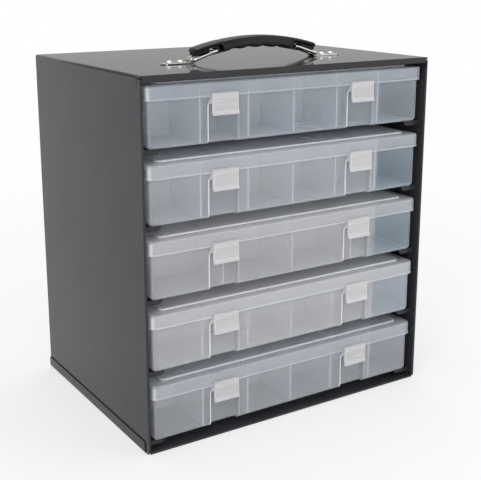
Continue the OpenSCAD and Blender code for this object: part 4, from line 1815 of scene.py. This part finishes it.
    def grip_web(self, side: Side) -> np.ndarray:
        """Makes one web: a convex plate with a long round slot for the bail's bar.

        Seen from the slot's centre, the plate's edge in each direction is the nearest of its border lines,
        and the slot's edge is a circle whose two halves are moved apart.

        Args:
            side: which of the two.

        Returns:
            Points as (outer and inner edges, points round, 3), which close on themselves both ways.
        """
        inner = self.middle_half - self.web_bite
        seat_x = math.sqrt(self.grip_arch**2 - (self.grip_arch - self.grip_under + self.seat_z) ** 2)
        end = self.grip_half
        x = np.array([inner, seat_x, end - self.seat_bevel, end, end, self.slot_x, inner])
        low = self.seat_z
        seat = [self.grip_under - self.arch(inner), low, low, low + self.seat_bevel]
        roof = self.grip_apex - self.roof_thick + self.web_bite / 2 - self.arch(x[4:])
        centre = np.array([self.slot_x, self.slot_z])
        border = np.stack([x, np.concatenate([seat, roof])], axis=-1) - centre
        normal = sideways(np.roll(border, -1, axis=0) - border)
        offset = np.einsum("ij,ij->i", normal, border)
        angle = full_turn(self.web_steps)
        ray = np.stack([np.cos(angle), np.sin(angle)], axis=-1)
        pace = ray @ normal.T
        least = self.least_pace
        distance = np.where(pace > least, offset[None, :] / np.maximum(pace, least), np.inf).min(axis=1)
        outer = ray * distance[:, None]
        slot = ray * self.slot_radius
        slot[:, 0] += self.slot_run * np.sign(np.round(ray[:, 0], self.ray_digits))
        shrunk = outer * self.web_shrink
        half = self.web_half
        flank = half - self.web_soft
        levels = [-half, -flank, flank, half, half, -half]
        xz = np.stack([shrunk, outer, outer, shrunk, slot, slot]) + centre
        y = np.broadcast_to(np.array(levels)[:, None], xz.shape[:2])
        return np.stack([side.value * xz[..., 0], y, xz[..., 1]], axis=-1)


# Rack


@dataclass
class SteelRack:
    """Enamelled sheet-steel rack: wrapper, floor, back and the ledges that carry the boxes."""

    enamel: bpy.types.Material
    top_enamel: bpy.types.Material
    box_count: int = 5
    edge_round: float = 0.3
    edge_steps: int = 2
    edge_angle: float = 50.0
    weld_gap: float = 0.02

    def build(self) -> None:
        """Dresses every sheet and softens its cut edges."""
        self.soften(dress_node("wrapper", self.top_enamel))
        for node in ("bottom_pan", "back_panel"):
            self.soften(dress_node(node, self.enamel))
        for side in Side:
            for number in range(1, self.box_count + 1):
                self.soften(dress_node(f"runner_{side.word}_{number}", self.enamel))

    def soften(self, solid: bpy.types.Object) -> None:
        """Joins a solid's loose triangles and rounds its cut edges, by modifiers alone.

        Args:
            solid: the node's object.
        """
        weld = solid.modifiers.new("joined", "WELD")
        weld.merge_threshold = self.weld_gap * MM
        bevel = solid.modifiers.new("cut_edges", "BEVEL")
        bevel.width = self.edge_round * MM
        bevel.segments = self.edge_steps
        bevel.limit_method = "ANGLE"
        bevel.angle_limit = math.radians(self.edge_angle)
        bevel.harden_normals = True


# Studio


@dataclass(frozen=True)
class SoftLamp:
    """One square studio lamp that looks at the rack's middle."""

    name: str
    place: tuple[float, float, float]
    size: float
    power: float

    def build(self, target: Vector) -> None:
        """Makes the lamp.

        Args:
            target: point it looks at.
        """
        lamp = bpy.data.lights.new(self.name, "AREA")
        lamp.size = self.size
        lamp.energy = self.power
        holder = bpy.data.objects.new(self.name, lamp)
        holder.location = self.place
        holder.rotation_euler = (target - holder.location).to_track_quat("-Z", "Y").to_euler()
        bpy.context.scene.collection.objects.link(holder)


@dataclass
class Studio:
    """Pale floor, white surroundings, soft lamps and the camera."""

    azimuth: float = -32.51
    elevation: float = 13.81
    distance: float = 1.0751
    target: tuple[float, float, float] = (0.015, 0.0, 0.2067)
    lens: float = 70.45
    sensor: float = 36.0
    shift_y: float = -0.083
    clip_end: float = 50.0
    floor_half: float = 6.0
    floor_near: float = 0.45
    floor_far: float = 1.3
    floor_glow: float = 0.58
    floor_far_glow: float = 0.42
    floor_lit: Colour = (0.85, 0.85, 0.85)
    floor_seen: Colour = (0.42, 0.42, 0.42)
    floor_dark: Colour = (0.0, 0.0, 0.0)
    white: Colour = (1.0, 1.0, 1.0)
    ambient: float = 0.50
    front_wall: float = 0.20
    rear_wall: float = 0.52
    wall_turn: float = 0.5
    overhead_low: float = 0.1
    overhead_high: float = 0.9
    lamps: tuple[SoftLamp, ...] = (
        SoftLamp("key_lamp", (-1.4, -1.4, 1.7), 1.4, 17.0),
        SoftLamp("fill_lamp", (1.7, -1.6, 1.0), 1.6, 9.0),
        SoftLamp("front_lamp", (-0.4, -2.2, 0.5), 0.9, 5.0),
        SoftLamp("top_lamp", (0.2, 0.5, 2.2), 1.6, 16.0),
    )

    def build(self) -> None:
        """Makes the floor, surroundings, lamps and camera."""
        self.build_world()
        self.build_floor()
        for lamp in self.lamps:
            lamp.build(Vector(self.target))
        self.build_camera()
        bpy.context.scene.view_settings.view_transform = "Standard"

    @staticmethod
    def seen(board: NodeBoard) -> Socket:
        """Gives 1 for rays that show the background: camera, glossy and transmitted ones.

        Args:
            board: where the nodes go.

        Returns:
            The largest of the three flags.
        """
        path = board.add("ShaderNodeLightPath")
        shown = board.math("MAXIMUM", path.outputs["Is Camera Ray"], path.outputs["Is Glossy Ray"])
        return board.math("MAXIMUM", shown, path.outputs["Is Transmission Ray"])

    def build_world(self) -> None:
        """Makes white surroundings that light the rack less than they show, and look softer in gloss."""
        world = bpy.data.worlds.new("white_room")
        world.use_nodes = True
        bpy.context.scene.world = world
        board = NodeBoard(world.node_tree)
        light = world.node_tree.nodes["Background"]
        board.put(light.inputs["Color"], self.white)
        apart = board.add("ShaderNodeSeparateXYZ")
        board.put(apart.inputs[0], board.add("ShaderNodeTexCoord").outputs["Generated"])
        turn = self.wall_turn
        wall = board.span(apart.outputs["Y"], -turn, turn, self.front_wall, self.rear_wall)
        overhead = board.span(apart.outputs["Z"], self.overhead_low, self.overhead_high, 0.0, 1.0)
        mirrored = board.math("MAXIMUM", wall, overhead)
        path = board.add("ShaderNodeLightPath")
        softer = board.math("SUBTRACT", mirrored, self.ambient)
        level = board.math("MULTIPLY_ADD", path.outputs["Is Glossy Ray"], softer, self.ambient)
        shown = board.math("MAXIMUM", path.outputs["Is Camera Ray"], path.outputs["Is Transmission Ray"])
        board.put(light.inputs["Strength"], board.math("MAXIMUM", level, shown))

    def build_floor(self) -> None:
        """Makes the floor: pale near the rack, where it keeps the shadow, and white further off."""
        half = self.floor_half
        mesh = bpy.data.meshes.new("floor")
        corners = [(-half, -half, 0.0), (half, -half, 0.0), (half, half, 0.0), (-half, half, 0.0)]
        mesh.from_pydata(corners, [], [(0, 1, 2, 3)])
        floor = bpy.data.objects.new("floor", mesh)
        bpy.context.scene.collection.objects.link(floor)
        material, board, shader = start_material("pale_floor")
        reach = board.vector("LENGTH", board.place()).outputs["Value"]
        far = board.span(reach, self.floor_near, self.floor_far, 0.0, 1.0)
        seen = self.seen(board)
        level = board.math("MULTIPLY_ADD", far, self.floor_far_glow, self.floor_glow)
        glow = board.math("MULTIPLY", seen, level)
        near_colour = board.blend(seen, self.floor_lit, self.floor_seen)
        far_colour = board.blend(seen, self.floor_lit, self.floor_dark)
        colour = board.blend(far, near_colour, far_colour)
        board.put_all(shader, {"Base Color": colour, "Roughness": 1.0, "Specular IOR Level": 0.0})
        board.put_all(shader, {"Emission Color": self.white, "Emission Strength": glow})
        mesh.materials.append(material)

    def build_camera(self) -> None:
        """Sets the camera at the photograph's viewing angle."""
        azimuth = math.radians(self.azimuth)
        elevation = math.radians(self.elevation)
        back = Vector((
            math.sin(azimuth) * math.cos(elevation),
            -math.cos(azimuth) * math.cos(elevation),
            math.sin(elevation),
        ))
        camera = bpy.data.cameras.new("camera")
        camera.lens = self.lens
        camera.sensor_width = self.sensor
        camera.shift_y = self.shift_y
        camera.clip_end = self.clip_end
        holder = bpy.data.objects.new("camera", camera)
        holder.location = Vector(self.target) + self.distance * back
        holder.rotation_euler = back.to_track_quat("Z", "Y").to_euler()
        bpy.context.scene.collection.objects.link(holder)
        bpy.context.scene.camera = holder


def main() -> None:
    """Builds the studio, the rack, the handle and the five boxes, in that order."""
    logging.basicConfig(level=logging.INFO, format="%(name)s: %(message)s")
    Studio().build()
    effects = SharedEffects()
    enamel = Enamel("gloss_enamel").material(effects)
    top_enamel = Enamel("gloss_enamel_top", dents=((-99.6, 54.3), (-85.2, 56.6))).material(effects)
    SteelRack(enamel, top_enamel).build()
    nickel = PlatedSteel("nickel_plate").material(effects)
    grip = GripPlastic("grip_plastic").material(effects)
    CarryHandle(nickel, grip).build()
    pin = PlatedSteel("hinge_steel", gloss=0.25).material(effects)
    sizes = BoxSizes()
    for number, mix in enumerate(BOX_MIXES, start=1):
        finishes = BoxFinishes.mixed(number, mix, pin, effects)
        CompartmentBox(number, mix.columns, sizes, finishes).build()


if __name__ == "__main__":
    main()
